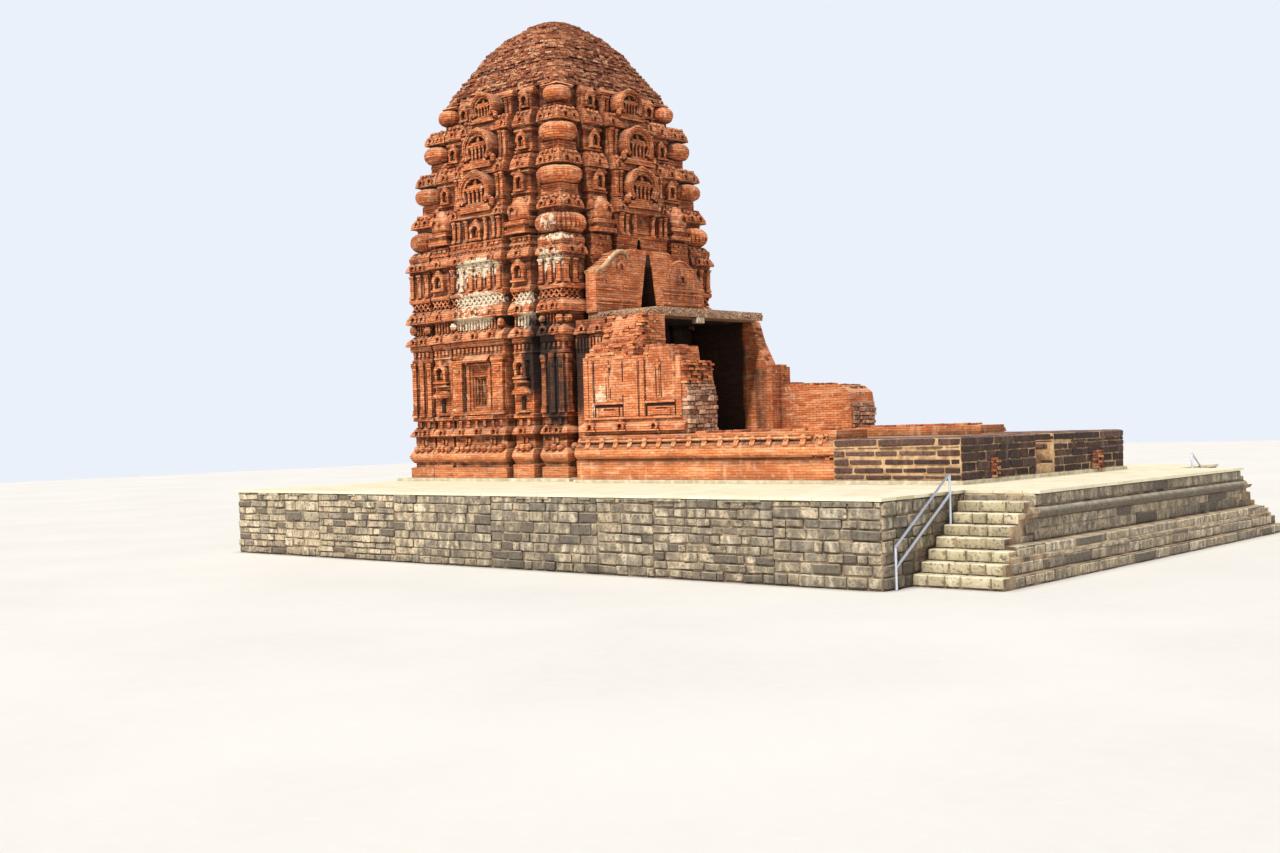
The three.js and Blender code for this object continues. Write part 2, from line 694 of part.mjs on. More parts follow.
function porchWall(side, east, upperEast) {
  const span = (a, b) => (side < 0 ? [-b, -a] : [a, b]);
  const outline = side < 0 ? mirrored(brokenSlope) : brokenSlope;
  const upper = alongX(polygon(outline), NECK.east, upperEast);
  const lower = box(EAST_FACE + GAP, east, ...span(PORCH.inner, HALL.inner - GAP), HALL_FLOOR, PORCH.top);
  const neck = box(EAST_FACE + GAP, NECK.east - NECK_SETBACK, ...span(HALL.inner - OVERLAP, NECK.outer),
    HALL_PLINTH_TOP, PORCH.top);
  return union([lower, upper, neck]);
}

const northBreak = alongY(polygon([
  [5500, PORCH.top + 1], [5700, 5500], [6050, 4850], [7000, 4850], [7000, PORCH.top + 1],
]), 0, FAR);

add('porch_wall_south', porchWall(-1, PORCH.southEast, PORCH.southEast), FINISH.brick());
add('porch_wall_north', porchWall(1, PORCH.northEast, PORCH.northUpper).subtract(northBreak), FINISH.brick());

function roofSlab() {
  const slabTop = PORCH.top + PORCH.slab;
  return box(EAST_FACE + GAP, PORCH.east, PORCH.slabSouth, PORCH.slabNorth, PORCH.top, slabTop);
}

add('porch_roof_slab', roofSlab(), FINISH.slab());

export default group;
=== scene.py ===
# %% [markdown]
# # A brick tower temple and its stone platform
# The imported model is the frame: it holds each piece of the temple at its real size and place.
# The cells below dress that frame with what a mason would recognise: courses of brick, rows of
# small carved blocks, horseshoe windows, broken wall ends, and the rough stones of the platform.

# %% Load the frame
import random
from functools import partial
from math import atan2, ceil, cos, floor, hypot, log, pi, radians, sin, sqrt

import bmesh
import bpy
from mathutils import Matrix, Vector, noise


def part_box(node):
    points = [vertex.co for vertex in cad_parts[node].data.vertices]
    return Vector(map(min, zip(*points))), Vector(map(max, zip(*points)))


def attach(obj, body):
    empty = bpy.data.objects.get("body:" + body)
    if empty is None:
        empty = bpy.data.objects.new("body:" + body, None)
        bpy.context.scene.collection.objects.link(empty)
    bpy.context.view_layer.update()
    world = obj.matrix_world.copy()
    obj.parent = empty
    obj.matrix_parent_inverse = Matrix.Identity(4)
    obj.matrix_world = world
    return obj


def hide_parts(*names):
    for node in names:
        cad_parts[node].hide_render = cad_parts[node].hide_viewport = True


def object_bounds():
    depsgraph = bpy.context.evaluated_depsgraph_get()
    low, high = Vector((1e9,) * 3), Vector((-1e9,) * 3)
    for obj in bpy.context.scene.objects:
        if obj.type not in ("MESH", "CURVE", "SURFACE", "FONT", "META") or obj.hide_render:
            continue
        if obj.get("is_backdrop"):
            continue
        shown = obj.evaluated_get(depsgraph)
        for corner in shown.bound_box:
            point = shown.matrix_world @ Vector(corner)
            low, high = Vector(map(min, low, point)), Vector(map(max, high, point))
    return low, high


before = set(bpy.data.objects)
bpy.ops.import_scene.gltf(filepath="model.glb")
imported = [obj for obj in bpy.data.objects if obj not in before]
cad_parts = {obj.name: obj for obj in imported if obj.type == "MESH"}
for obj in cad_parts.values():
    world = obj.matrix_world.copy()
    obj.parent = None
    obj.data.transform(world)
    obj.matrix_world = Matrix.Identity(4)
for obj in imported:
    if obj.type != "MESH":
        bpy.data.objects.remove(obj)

noise.seed_set(5)  # without it the wear of the walls would start from the clock
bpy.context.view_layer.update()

# %% [markdown]
# ## Sizes
# Everything is in metres. Heights come from the frame's own pieces, so the dressing follows the
# frame if it is made again. The plan of the tower is the one thing that every band shares: a core,
# a centre bay, two side bays and two corner bays on each of its four sides.

# %% Heights and plan
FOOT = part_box("footing_course")[1].z
PLINTH_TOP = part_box("tower_plinth")[1].z
WALL_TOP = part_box("sanctum_wall_south")[1].z
CORNICE_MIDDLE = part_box("lower_wall_cornice")[1].z
CORNICE_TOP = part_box("upper_wall_cornice")[1].z
EAST_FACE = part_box("sanctum_wall_south")[1].x

CORE, CORNER, SIDE, CENTRE = 3.04, 3.22, 3.35, 3.48  # how far out each bay stands
CORNER_FROM, SIDE_FROM, SIDE_TO, CENTRE_HALF = 2.35, 1.33, 2.09, 1.10  # where it begins and ends
RETURN = 0.35  # what a return takes of a moulding
SIDES = range(4)
SOUTH, EAST, NORTH, WEST = SIDES
CLOSED_SIDES = (SOUTH, NORTH, WEST)
print("footing at", round(FOOT, 3), "and upper cornice to", round(CORNICE_TOP, 3))

# %% [markdown]
# ## Small tools
# Three helpers carry the whole lesson: one adds a node to a tree with its settings and links, one
# turns an sRGB hex value to linear light, and one hands a finished piece over to the frame.

# %% Nodes, colours and the hand-over
def add(tree, kind, links=None, out=0, **settings):
    """Adds a node, sets it, and fills its inputs with sockets or with plain values.

    Most kinds are named ShaderNode and a word, so that start is added here. It gives back the first
    output, or the one that out names, or with None the node itself."""
    start = "" if kind.startswith(("Geometry", "Function", "Node")) else "ShaderNode"
    made = tree.nodes.new(start + kind)
    for key, value in settings.items():
        setattr(made, key, value)
    for key, value in (links or {}).items():
        if isinstance(value, bpy.types.NodeSocket):
            tree.links.new(value, made.inputs[key])
        else:
            made.inputs[key].default_value = value
    return made if out is None else made.outputs[out]


def linear(hex_colour):
    """An sRGB hex value as linear red, green, blue and alpha."""
    channels = [int(hex_colour[i:i + 2], 16) / 255 for i in (0, 2, 4)]
    light = [c / 12.92 if c <= 0.04045 else ((c + 0.055) / 1.055) ** 2.4 for c in channels]
    return (*light, 1.0)


COLOUR = {"out": 2, "data_type": "RGBA"}  # what a Mix node needs so that it mixes colours


PIECES = []


def settle(piece, slot, *nodes):
    """The piece rides on the temple, and may stand for some nodes, which it hides. The slot is not used."""
    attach(piece, "root")
    if nodes:
        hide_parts(*nodes)
    PIECES.append(piece)
    print(piece.name, len(piece.data.polygons), "faces")
    return piece

# %% [markdown]
# ## The finish of old masonry
# Hand-moulded brick is dull and porous, so it has no gloss and its colour shifts from brick to
# brick. Four things lie over it. Painted shade darkens wherever two faces meet, which ambient
# occlusion finds, and in recesses and under overhangs that each mesh marks on its vertices. Pale dust
# lies on whatever faces up, and is a painted highlight there as well. Remains of lime plaster and soot
# from water and fires keep to a few zones, and inside the porch, the sanctum and the shaft a painted
# shade is laid with the soot: those are weights that each mesh carries on its vertices, roughened by
# noise here, so that their edges are ragged.

# %% A weathered surface
def weathered(node, colour, height, dust_and_highlight="fcc69a", dust_and_highlight_share=0.6, bump=0.014, rough=0.93, dirt_and_shade="361408",
              corner_shade_share=0.85, runs=0.55):
    """Lays painted shade in corners and recesses, dust that is also a painted highlight, plaster, and soot
    with painted shade over a colour, and closes the material.
    """
    place = node("TexCoord", out="Object")
    normal = node("NewGeometry", out="Normal")
    upward = node("SeparateXYZ", {0: normal}, out="Z")
    cloud = node("TexNoise", {"Vector": place, "Scale": 3.1, "Detail": 6.0})
    grain = node("TexNoise", {"Vector": place, "Scale": 38.0, "Detail": 4.0})
    # Pale dust on faces that look up, which is also a painted highlight on ledges and tops.
    lying = node("MapRange", {0: upward, 1: 0.15, 2: 0.95, 4: dust_and_highlight_share})
    patchy = node("MapRange", {0: cloud, 1: 0.35, 2: 0.62, 3: 0.35})
    dust_and_highlight_mask = node("Math", {0: lying, 1: patchy}, operation="MULTIPLY")
    colour = node("Mix", {0: dust_and_highlight_mask, 6: colour, 7: linear(dust_and_highlight)}, **COLOUR)

    # Painted shade: ambient occlusion darkens corners and creases, where shade falls.
    open_sky = node("AmbientOcclusion", {"Distance": 0.36}, out="AO", samples=3)
    corner = node("MapRange", {0: open_sky, 1: 0.85, 2: 0.25, 4: corner_shade_share})
    # Painted shade in recesses, under overhangs and in hollows, from weights that the meshes carry.
    painted_shade = node("Attribute", out="Fac", attribute_name="painted_shade")
    painted_shade = node("Math", {0: painted_shade, 1: patchy}, operation="MULTIPLY")
    painted_shade = node("Math", {0: painted_shade, 1: corner}, operation="MAXIMUM")
    colour = node("Mix", {0: painted_shade, 6: colour, 7: linear(dirt_and_shade)}, **COLOUR)

    chips = node("TexNoise", {"Vector": place, "Scale": 9.0, "Detail": 5.0})
    plaster = node("Attribute", out="Fac", attribute_name="plaster")
    plaster = node("Math", {0: chips, 1: plaster}, operation="ADD")
    plaster = node("MapRange", {0: plaster, 1: 0.98, 2: 1.08})
    lime = node("Mix", {0: grain, 6: linear("cdb692"), 7: linear("fff4de")}, **COLOUR)
    colour = node("Mix", {0: plaster, 6: colour, 7: lime}, **COLOUR)

    streak = node("Mapping", {0: place, 3: (1.0, 1.0, 0.22)})
    streak = node("TexNoise", {"Vector": streak, "Scale": 4.5, "Detail": 5.0})
    salts = node("MapRange", {0: streak, 1: 0.6, 2: 0.75, 4: runs})
    colour = node("Mix", {0: salts, 6: colour, 7: linear(dust_and_highlight)}, **COLOUR)
    # Soot, and painted shade inside the porch, the sanctum, the shaft and the depth of the slit.
    soot_and_shade = node("Attribute", out="Fac", attribute_name="soot_and_shade")
    soot_and_shade = node("Math", {0: streak, 1: soot_and_shade}, operation="ADD")
    soot_and_shade = node("MapRange", {0: soot_and_shade, 1: 0.85, 2: 1.35, 4: 0.94})
    colour = node("Mix", {0: soot_and_shade, 6: colour, 7: linear("191312")}, **COLOUR)

    pitted = node("Math", {0: grain, 1: 0.7, 2: height}, operation="MULTIPLY_ADD")
    uneven = node("Math", {0: chips, 1: 1.1, 2: pitted}, operation="MULTIPLY_ADD")
    relief = node("Bump", {"Strength": 1.0, "Distance": bump, "Height": uneven})
    surface = node("BsdfPrincipled",
                  {"Base Color": colour, "Roughness": rough, "IOR": 1.5, "Normal": relief})
    node("OutputMaterial", {0: surface}, out=None)


def new_finish(name):
    """An empty material, and the adding of a node to its tree as one word."""
    finish = bpy.data.materials.new(name)
    finish.use_nodes = True
    finish.node_tree.nodes.clear()
    return finish, partial(add, finish.node_tree)

# %% [markdown]
# ## Laid brick
# A course of this brick is about 65 mm high and a brick about 240 mm long. The pattern has to lie
# level on every face, so it is read from height and from the direction along the face: X on faces
# that look north or south, and Y on faces that look east or west.

# %% Brick in courses
COURSE = 0.065
BRICK = 0.24
JOINT = 0.007


def along_face(node):
    """A flat coordinate on any upright face: along it, and up."""
    place = node("TexCoord", out="Object")
    normal = node("NewGeometry", out="True Normal")
    spot = node("SeparateXYZ", {0: place}, out=None)
    facing = node("SeparateXYZ", {0: normal}, out=None)
    east_west = node("Math", {0: facing.outputs["X"]}, operation="ABSOLUTE")
    north_south = node("Math", {0: facing.outputs["Y"]}, operation="ABSOLUTE")
    turned = node("Math", {0: east_west, 1: north_south}, operation="GREATER_THAN")
    along = node("Mix", {0: turned, 2: spot.outputs["X"], 3: spot.outputs["Y"]})
    flat = node("CombineXYZ", {0: along, 1: spot.outputs["Z"]})
    bend = node("TexNoise", {"Vector": place, "Scale": 1.7}, out="Color")
    return node("VectorMath", {0: bend, 1: (0.03,) * 3, 2: flat}, operation="MULTIPLY_ADD")


def laid_brick(name, light, dark, joint, worn=0.6, burnt="64301f", bleach="f4c4a2", uneven=1.0):
    """Brick in level courses, each brick between two colours, with worn and darkened patches.

    Uneven is how much single bricks and stretches of a course differ from their neighbours."""
    finish, node = new_finish(name)
    flat = along_face(node)
    bond = node("TexBrick",
               {"Vector": flat, "Color1": linear(light), "Color2": linear(dark), "Mortar": linear(joint),
                "Scale": 1.0, "Mortar Size": JOINT, "Mortar Smooth": 0.3, "Bias": -0.1,
                "Brick Width": BRICK, "Row Height": COURSE}, out=None)
    place = node("TexCoord", out="Object")
    in_course = node("Mapping", {0: place, 3: (1.6, 1.6, 0.9 / COURSE)})
    tone = node("TexNoise", {"Vector": in_course, "Scale": 1.0, "Detail": 4.0})
    wide = node("TexNoise", {"Vector": place, "Scale": 0.9, "Detail": 7.0})
    fine = node("TexNoise", {"Vector": place, "Scale": 7.0, "Detail": 7.0})
    dim = node("MapRange", {0: wide, 1: 0.45, 2: 0.66, 4: worn})
    banded = node("MapRange", {0: tone, 1: 0.48, 2: 0.7, 4: 0.7 * uneven})
    dim = node("Math", {0: dim, 1: banded}, operation="MAXIMUM")
    bright = node("MapRange", {0: tone, 1: 0.46, 2: 0.28, 4: 0.5 * uneven})
    flecks = node("MapRange", {0: fine, 1: 0.55, 2: 0.74, 4: 0.6 * uneven})
    bleached = node("Math", {0: bright, 1: flecks}, operation="MAXIMUM")
    colour = node("Mix", {0: dim, 6: bond.outputs["Color"], 7: linear(burnt)}, **COLOUR)
    colour = node("Mix", {0: bleached, 6: colour, 7: linear(bleach)}, **COLOUR)
    height = node("Math", {0: 1.0, 1: bond.outputs["Fac"]}, operation="SUBTRACT")
    height = node("Math", {0: tone, 1: -0.8, 2: height}, operation="MULTIPLY_ADD")
    weathered(node, colour, height)
    return finish


FIRED_BRICK = laid_brick("hand_moulded_fired_brick", "f08e50", "be5a2c", "76361c", burnt="692c14",
                         bleach="ffd2a6")
HALL_BRICK = laid_brick("hand_moulded_hall_brick", "f49a62", "d4713e", "9c4e28", worn=0.6, burnt="8a3e1a",
                        bleach="ffdcb4", uneven=0.85)
PLINTH_BRICK = laid_brick("rubbed_plinth_brick", "f6a066", "e58a52", "c27244", worn=0.55, burnt="944620",
                          bleach="ffe4c0", uneven=0.8)
print("a brick shows as", round(BRICK / JOINT), "joints long")

# %% [markdown]
# ## Loose and broken brick
# Where the facing has gone, each brick end shows by itself. Those bricks are separate small
# boxes, so the shader can give every one of them its own tint: Random Per Island is one number
# for each connected piece of a mesh.

# %% Brick and stone by the piece
def tinted_pieces(name, tints, dust_and_highlight, dust_and_highlight_share, bump, mottled=0.5, eastward_tint=None, dirt_and_shade="2a130c",
                  runs=0.3, corner_shade_share=0.85):
    """A finish that gives each separate brick or stone of a mesh its own tint.

    Eastward tint is a second colour that takes over along X between two places, in clouds: weathering
    on the platform and the terrace, and painted shade on the east faces of the dark front plinths."""
    finish, node = new_finish(name)
    island = node("NewGeometry", out="Random Per Island")
    ramp = node("ValToRGB", {0: island}, out=None)
    ramp.color_ramp.interpolation = "CONSTANT"
    while len(ramp.color_ramp.elements) < len(tints):
        ramp.color_ramp.elements.new(0.5)
    for index, tint in enumerate(tints):
        ramp.color_ramp.elements[index].position = index / len(tints)
        ramp.color_ramp.elements[index].color = linear(tint)
    place = node("TexCoord", out="Object")
    stretched = node("Mapping", {0: place, 3: (1.0, 1.0, 0.5)})
    cloud = node("TexNoise", {"Vector": stretched, "Scale": 6.5, "Detail": 8.0})
    blotch = node("MapRange", {0: cloud, 1: 0.42, 2: 0.64, 4: mottled})
    colour = node("Mix", {0: blotch, 6: ramp.outputs[0], 7: linear(tints[-1])}, **COLOUR)
    pits = node("TexNoise", {"Vector": place, "Scale": 16.0, "Detail": 7.0})
    pits = node("MapRange", {0: pits, 1: 0.52, 2: 0.68, 4: 0.75})
    colour = node("Mix", {0: pits, 6: colour, 7: linear(dirt_and_shade)}, **COLOUR)
    if eastward_tint:
        tint, start, end, share = eastward_tint
        east = node("SeparateXYZ", {0: place}, out="X")
        east = node("MapRange", {0: east, 1: start, 2: end, 3: -0.12, 4: 0.1})
        clouds = node("TexNoise", {"Vector": place, "Scale": 0.9, "Detail": 6.0})
        tinted_east = node("Math", {0: clouds, 1: east}, operation="ADD")
        tinted_east = node("Math", {0: tinted_east, 1: 0.16, 2: cloud}, operation="MULTIPLY_ADD")
        tinted_east = node("Math", {0: east, 1: tinted_east}, operation="ADD")
        tinted_east = node("MapRange", {0: tinted_east, 1: 0.48, 2: 0.72, 4: share})
        colour = node("Mix", {0: tinted_east, 6: colour, 7: linear(tint)}, **COLOUR)
    weathered(node, colour, cloud, dust_and_highlight, dust_and_highlight_share, bump, dirt_and_shade=dirt_and_shade, corner_shade_share=corner_shade_share, runs=runs)
    return finish


RUBBLE_BRICK = tinted_pieces("broken_brick_ends",
                             ["ee965e", "d67a48", "f4b07c", "bc6238", "e48650", "a65636"],
                             "ffd0a4", 0.5, 0.012, mottled=0.35)
DOME_BRICK = tinted_pieces("weathered_dome_brick",
                           ["c67c54", "a8633f", "d8946a", "925034", "bc6e46", "e2aa80", "7c4128"],
                           "f0bc90", 0.5, 0.014)
STONE_TINTS = ["e0ccac", "ccb898", "ead8b8", "bcac90", "d8c4a2", "aa9c88", "d2be9e", "7c7060"]
PLATFORM_STONE = tinted_pieces("lichened_grey_building_stone", STONE_TINTS, "efe6c8", 0.55, 0.035,
                               mottled=0.6, eastward_tint=("5e574e", 1.0, 6.5, 0.58), dirt_and_shade="33281d", runs=0.15,
                               corner_shade_share=0.7)
TERRACE_STONE = tinted_pieces("weathered_terrace_stone", STONE_TINTS, "efe6c8", 0.6, 0.035, mottled=0.6,
                              eastward_tint=("787066", -30.0, 40.0, 0.5), dirt_and_shade="3a2e22", runs=0.2, corner_shade_share=0.6)
# The dark tint towards the east is painted shade on the east faces of the front plinths.
DARK_STONE = tinted_pieces("dark_laterite_block",
                           ["5c4038", "49342f", "6c4e44", "3c2a27", "634539", "7a5c50"], "b8948a", 0.5,
                           0.028, mottled=0.4, eastward_tint=("2a201e", 15.2, 15.95, 0.7), dirt_and_shade="241a16")
STEP_STONE = tinted_pieces("worn_step_stone", ["e4d6b0", "d0c29e", "ecdfbc", "bfb292"], "fdf2d2", 0.7, 0.02,
                           mottled=0.4, dirt_and_shade="3d3022")

# %% [markdown]
# ## Mortar, flags, slab and steel
# What lies between and beside the masonry is plainer: lime mortar, pale paving flags bleached by
# the sun, a roof slab of coarse concrete full of pebbles, and satin steel tube.

# %% Plain finishes
def plain_masonry(name, first, second, scale, dust_and_highlight, bump, rough=0.93, dust_and_highlight_share=0.3, corner_shade_share=0.85):
    """Two colours in clouds of one size, for mortar, render and trodden floors."""
    finish, node = new_finish(name)
    place = node("TexCoord", out="Object")
    cloud = node("TexNoise", {"Vector": place, "Scale": scale, "Detail": 8.0})
    spread = node("MapRange", {0: cloud, 1: 0.36, 2: 0.64})
    colour = node("Mix", {0: spread, 6: linear(first), 7: linear(second)}, **COLOUR)
    weathered(node, colour, cloud, dust_and_highlight, dust_and_highlight_share, bump, rough, corner_shade_share=corner_shade_share)
    return finish


def flag_paving(name, flag, light, dark, joint):
    """Square flags seen from above, with sandy joints."""
    finish, node = new_finish(name)
    place = node("TexCoord", out="Object")
    bond = node("TexBrick",
               {"Vector": place, "Color1": linear(light), "Color2": linear(dark), "Mortar": linear(joint),
                "Scale": 1.0, "Mortar Size": 0.012, "Mortar Smooth": 0.2, "Brick Width": flag,
                "Row Height": flag}, out=None)
    cloud = node("TexNoise", {"Vector": place, "Scale": 1.3, "Detail": 8.0})
    stain = node("MapRange", {0: cloud, 1: 0.5, 2: 0.7, 4: 0.5})
    colour = node("Mix", {0: stain, 6: bond.outputs["Color"], 7: linear("cfc19c")}, **COLOUR)
    height = node("Math", {0: 1.0, 1: bond.outputs["Fac"]}, operation="SUBTRACT")
    weathered(node, colour, height, "f4ead0", 0.3, 0.006)
    return finish


def satin_steel(name):
    """Tube that is neither polished nor painted: long soft highlights with a blue tinge."""
    finish, node = new_finish(name)
    place = node("TexCoord", out="Object")
    rubbed = node("TexNoise", {"Vector": place, "Scale": 60.0, "Detail": 3.0})
    rough = node("MapRange", {0: rubbed, 1: 0.3, 2: 0.7, 3: 0.24, 4: 0.42})
    relief = node("Bump", {"Strength": 0.2, "Distance": 0.001, "Height": rubbed})
    tint = node("Mix", {0: rubbed, 6: linear("ccd6e8"), 7: linear("e8eef8")}, **COLOUR)
    surface = node("BsdfPrincipled",
                  {"Base Color": tint, "Metallic": 0.7, "Roughness": rough, "Normal": relief})
    node("OutputMaterial", {0: surface}, out=None)
    return finish


LIME_MORTAR = plain_masonry("lime_mortar", "c4a884", "645040", 2.5, "d3c8ac", 0.014, corner_shade_share=0.6)
FOOTING_STONE = plain_masonry("pale_footing_stone", "ece2c8", "c8bc9c", 5.0, "f6eeda", 0.02, corner_shade_share=0.3)
CREAM_MORTAR = plain_masonry("cream_mortar", "d8b488", "a88460", 7.0, "ecd0a4", 0.012)
CORE_BRICK = plain_masonry("bedding_between_broken_brick", "6b3a28", "40241b", 9.0, "9a6a50", 0.02)
TRODDEN = plain_masonry("trodden_earth_floor", "b39877", "8f7257", 2.5, "c9b391", 0.012)
PEBBLED = plain_masonry("pebbled_roof_slab", "d8b290", "84644c", 26.0, "f0cfae", 0.03, dust_and_highlight_share=0.6)
DOOR_STONE = plain_masonry("smoothed_door_stone", "6d544a", "4a3a35", 4.0, "8d7567", 0.006, rough=0.8)
PALE_FLAGS = flag_paving("pale_sandstone_flags", 0.62, "f6edcf", "efe4c2", "d8cba6")
TUBE_STEEL = satin_steel("satin_steel_tube")
print(len(bpy.data.materials), "finishes")

# %% [markdown]
# ## Copies on seats, by Geometry Nodes
# Carved brickwork repeats a few small blocks hundreds of times. A seat is one vertex that carries
# a turn and a size, and the tree below puts a copy of a block on every seat. A little random turn
# and size keeps hand work from looking machined, and a noise offset roughens stone.

# %% The tree that sets copies
def new_tree(name, **sockets):
    """A geometry tree with named inputs, its input node and its output node."""
    tree = bpy.data.node_groups.new(name, "GeometryNodeTree")
    for title, kind in sockets.items():
        tree.interface.new_socket(title.replace("_", " "), in_out="INPUT", socket_type=f"NodeSocket{kind}")
    tree.interface.new_socket("Result", in_out="OUTPUT", socket_type="NodeSocketGeometry")
    given, result = (add(tree, kind, out=None) for kind in ("NodeGroupInput", "NodeGroupOutput"))
    return partial(add, tree), given.outputs, result.inputs


def closed(node, given, result, shape, roughness, scale=7.0):
    """How each tree ends: copies made real, roughened by noise so that they differ, and finished."""
    shape = node("GeometryNodeRealizeInstances", {0: shape})
    place = node("GeometryNodeInputPosition")
    cloud = node("TexNoise", {"Vector": place, "Scale": scale, "Detail": 2.0}, out="Color")
    centred = node("VectorMath", {0: cloud, 1: (0.5,) * 3}, operation="SUBTRACT")
    offset = node("VectorMath", {0: centred, "Scale": roughness}, operation="SCALE")
    shape = node("GeometryNodeSetPosition", {"Geometry": shape, "Offset": offset})
    shape = node("GeometryNodeSetMaterial", {"Geometry": shape, "Material": given["Finish"]})
    tree = result[0].id_data
    tree.links.new(shape, result[0])
    return tree


def copies_tree():
    node, given, result = new_tree("set_copies", Seats="Geometry", Copy="Object", Turn_jitter="Float",
                                   Size_jitter="Float", Roughness="Float", Seed="Int", Finish="Material")
    block = node("GeometryNodeObjectInfo", {"Object": given["Copy"]}, out="Geometry")
    turn, size = (node("GeometryNodeInputNamedAttribute", {"Name": name}, data_type="FLOAT_VECTOR")
                  for name in ("turn", "size"))
    either_way = node("FunctionNodeRandomValue", {0: (-1.0,) * 3, 1: (1.0,) * 3, "Seed": given["Seed"]},
                      data_type="FLOAT_VECTOR")
    wobble = node("VectorMath", {0: either_way, "Scale": given["Turn jitter"]}, operation="SCALE")
    turned = node("VectorMath", {0: turn, 1: wobble}, operation="ADD")
    turned = node("FunctionNodeEulerToRotation", {0: turned})
    growth = node("VectorMath", {0: either_way, "Scale": given["Size jitter"]}, operation="SCALE")
    growth = node("VectorMath", {0: growth, 1: (1.0,) * 3}, operation="ADD")
    sized = node("VectorMath", {0: size, 1: growth}, operation="MULTIPLY")
    copies = node("GeometryNodeInstanceOnPoints",
                  {"Points": given["Seats"], "Instance": block, "Rotation": turned, "Scale": sized})
    return closed(node, given, result, copies, given["Roughness"])


SET_COPIES = copies_tree()


def frozen(piece):
    """Keeps what the modifiers make of a piece as its plain mesh, and drops them."""
    graph = bpy.context.evaluated_depsgraph_get()
    mesh = bpy.data.meshes.new_from_object(piece.evaluated_get(graph))
    piece.modifiers.clear()
    piece.data = mesh
    return piece


def grown(host, tree, **values):
    """Runs a tree on an object once, and keeps the result."""
    identifiers = {item.name: item.identifier for item in tree.interface.items_tree}
    modifier = host.modifiers.new(tree.name, "NODES")
    modifier.node_group = tree
    for title, value in values.items():
        modifier[identifiers[title.replace("_", " ")]] = value
    return frozen(host)


def in_scene(name, data):
    """A new object with its data, in the scene."""
    made = bpy.data.objects.new(name, data)
    bpy.context.scene.collection.objects.link(made)
    return made


def mesh_object(name, verts, faces, finish=None):
    mesh = bpy.data.meshes.new(name)
    mesh.from_pydata(verts, [], faces)
    mesh.update()
    if finish:
        mesh.materials.append(finish)
    return in_scene(name, mesh)


def set_on(name, copy, seats, finish, turn_jitter, size_jitter, roughness):
    """Puts a copy on each seat: (place, turn about Z or an Euler turn, size)."""
    host = mesh_object(name, [place for place, _, _ in seats], [])
    turns = host.data.attributes.new("turn", "FLOAT_VECTOR", "POINT")
    sizes = host.data.attributes.new("size", "FLOAT_VECTOR", "POINT")
    for index, (_, turn, size) in enumerate(seats):
        turns.data[index].vector = turn if hasattr(turn, "__len__") else (0.0, 0.0, turn)
        sizes.data[index].vector = size if hasattr(size, "__len__") else (size,) * 3
    return grown(host, SET_COPIES, Copy=copy, Turn_jitter=turn_jitter, Size_jitter=size_jitter,
                 Roughness=roughness, Seed=1, Finish=finish)

# %% [markdown]
# ## Where each side looks
# All small pieces are made once, as for the south side: X to the right, Z up, and the front
# towards minus Y. A quarter turn for each side then carries them round the tower.

# %% Places on the four sides
def on_side(side, across, out, z):
    """A point on one side of the tower, seen from outside: across to the right, out, and up."""
    x, y = across, -out
    for _ in range(side):
        x, y = -y, x
    return (x, y, z)


def quarter(side):
    return side * pi / 2


def clear_of_porch(side, across, z):
    """East of the tower the porch and the gable hide a part, and the middle above is worn plain."""
    if side != EAST:
        return True
    if z < CORNICE_MIDDLE + 0.05:
        return abs(across) > 3.02
    if z < 8.6 and abs(across) < 1.15 or z < 9.3 and abs(across) < 0.3:
        return False
    return z > 8.2 or abs(across + 0.08) > 2.45

# %% [markdown]
# ## Blocks to copy
# These are the carver's few motifs, each a small mesh with only the faces that its shape needs:
# a brick, a dressed stone, a leaf boss, a horseshoe dot, a pilaster, a niche with its little roof.

# %% Mesh tools
def put_box(bm, x, y, z, taper=1.0):
    """A block between (low, high) pairs. One number for x is its half width; taper narrows its top."""
    x = x if isinstance(x, (tuple, list)) else (-x, x)
    middle_x, middle_y = sum(x) / 2, sum(y) / 2
    corners = []
    for height, scale in ((z[0], 1.0), (z[1], taper)):
        for px, py in ((x[0], y[0]), (x[1], y[0]), (x[1], y[1]), (x[0], y[1])):
            corners.append(bm.verts.new((middle_x + (px - middle_x) * scale,
                                         middle_y + (py - middle_y) * scale, height)))
    for face in ((3, 2, 1, 0), (4, 5, 6, 7), (0, 1, 5, 4), (1, 2, 6, 5), (2, 3, 7, 6), (3, 0, 4, 7)):
        bm.faces.new([corners[i] for i in face])


def put_boxes(bm, *boxes):
    for box in boxes:
        put_box(bm, *box)


def put_band(bm, outer, inner, front, back):
    """A raised band between two open outlines in X and Z, such as the ring of an arch."""
    rows = [[bm.verts.new((x, y, z)) for x, z in line]
            for line, y in ((outer, back), (outer, front), (inner, front), (inner, back))]
    for first, second in zip(rows, rows[1:] + rows[:1]):
        for i in range(len(outer) - 1):
            bm.faces.new((first[i], first[i + 1], second[i + 1], second[i]))
    bm.faces.new([row[0] for row in rows])
    bm.faces.new([row[-1] for row in reversed(rows)])


def put_plate(bm, outline, front, back):
    """A flat plate with an outline in X and Z, as seen from the front, right-handed."""
    near = [bm.verts.new((x, front, z)) for x, z in outline]
    far = [bm.verts.new((x, back, z)) for x, z in outline]
    bm.faces.new(near)
    bm.faces.new(far[::-1])
    for i, start in enumerate(near):
        j = (i + 1) % len(near)
        bm.faces.new((start, far[i], far[j], near[j]))


def put_lump(bm, place, radii, rings=3, spokes=6):
    """A rough ball, flattened as its radii say."""
    made = bmesh.ops.create_uvsphere(bm, u_segments=spokes, v_segments=rings, radius=1.0)
    for vert in made["verts"]:
        vert.co = Vector(place) + Vector(c * r for c, r in zip(vert.co, radii))


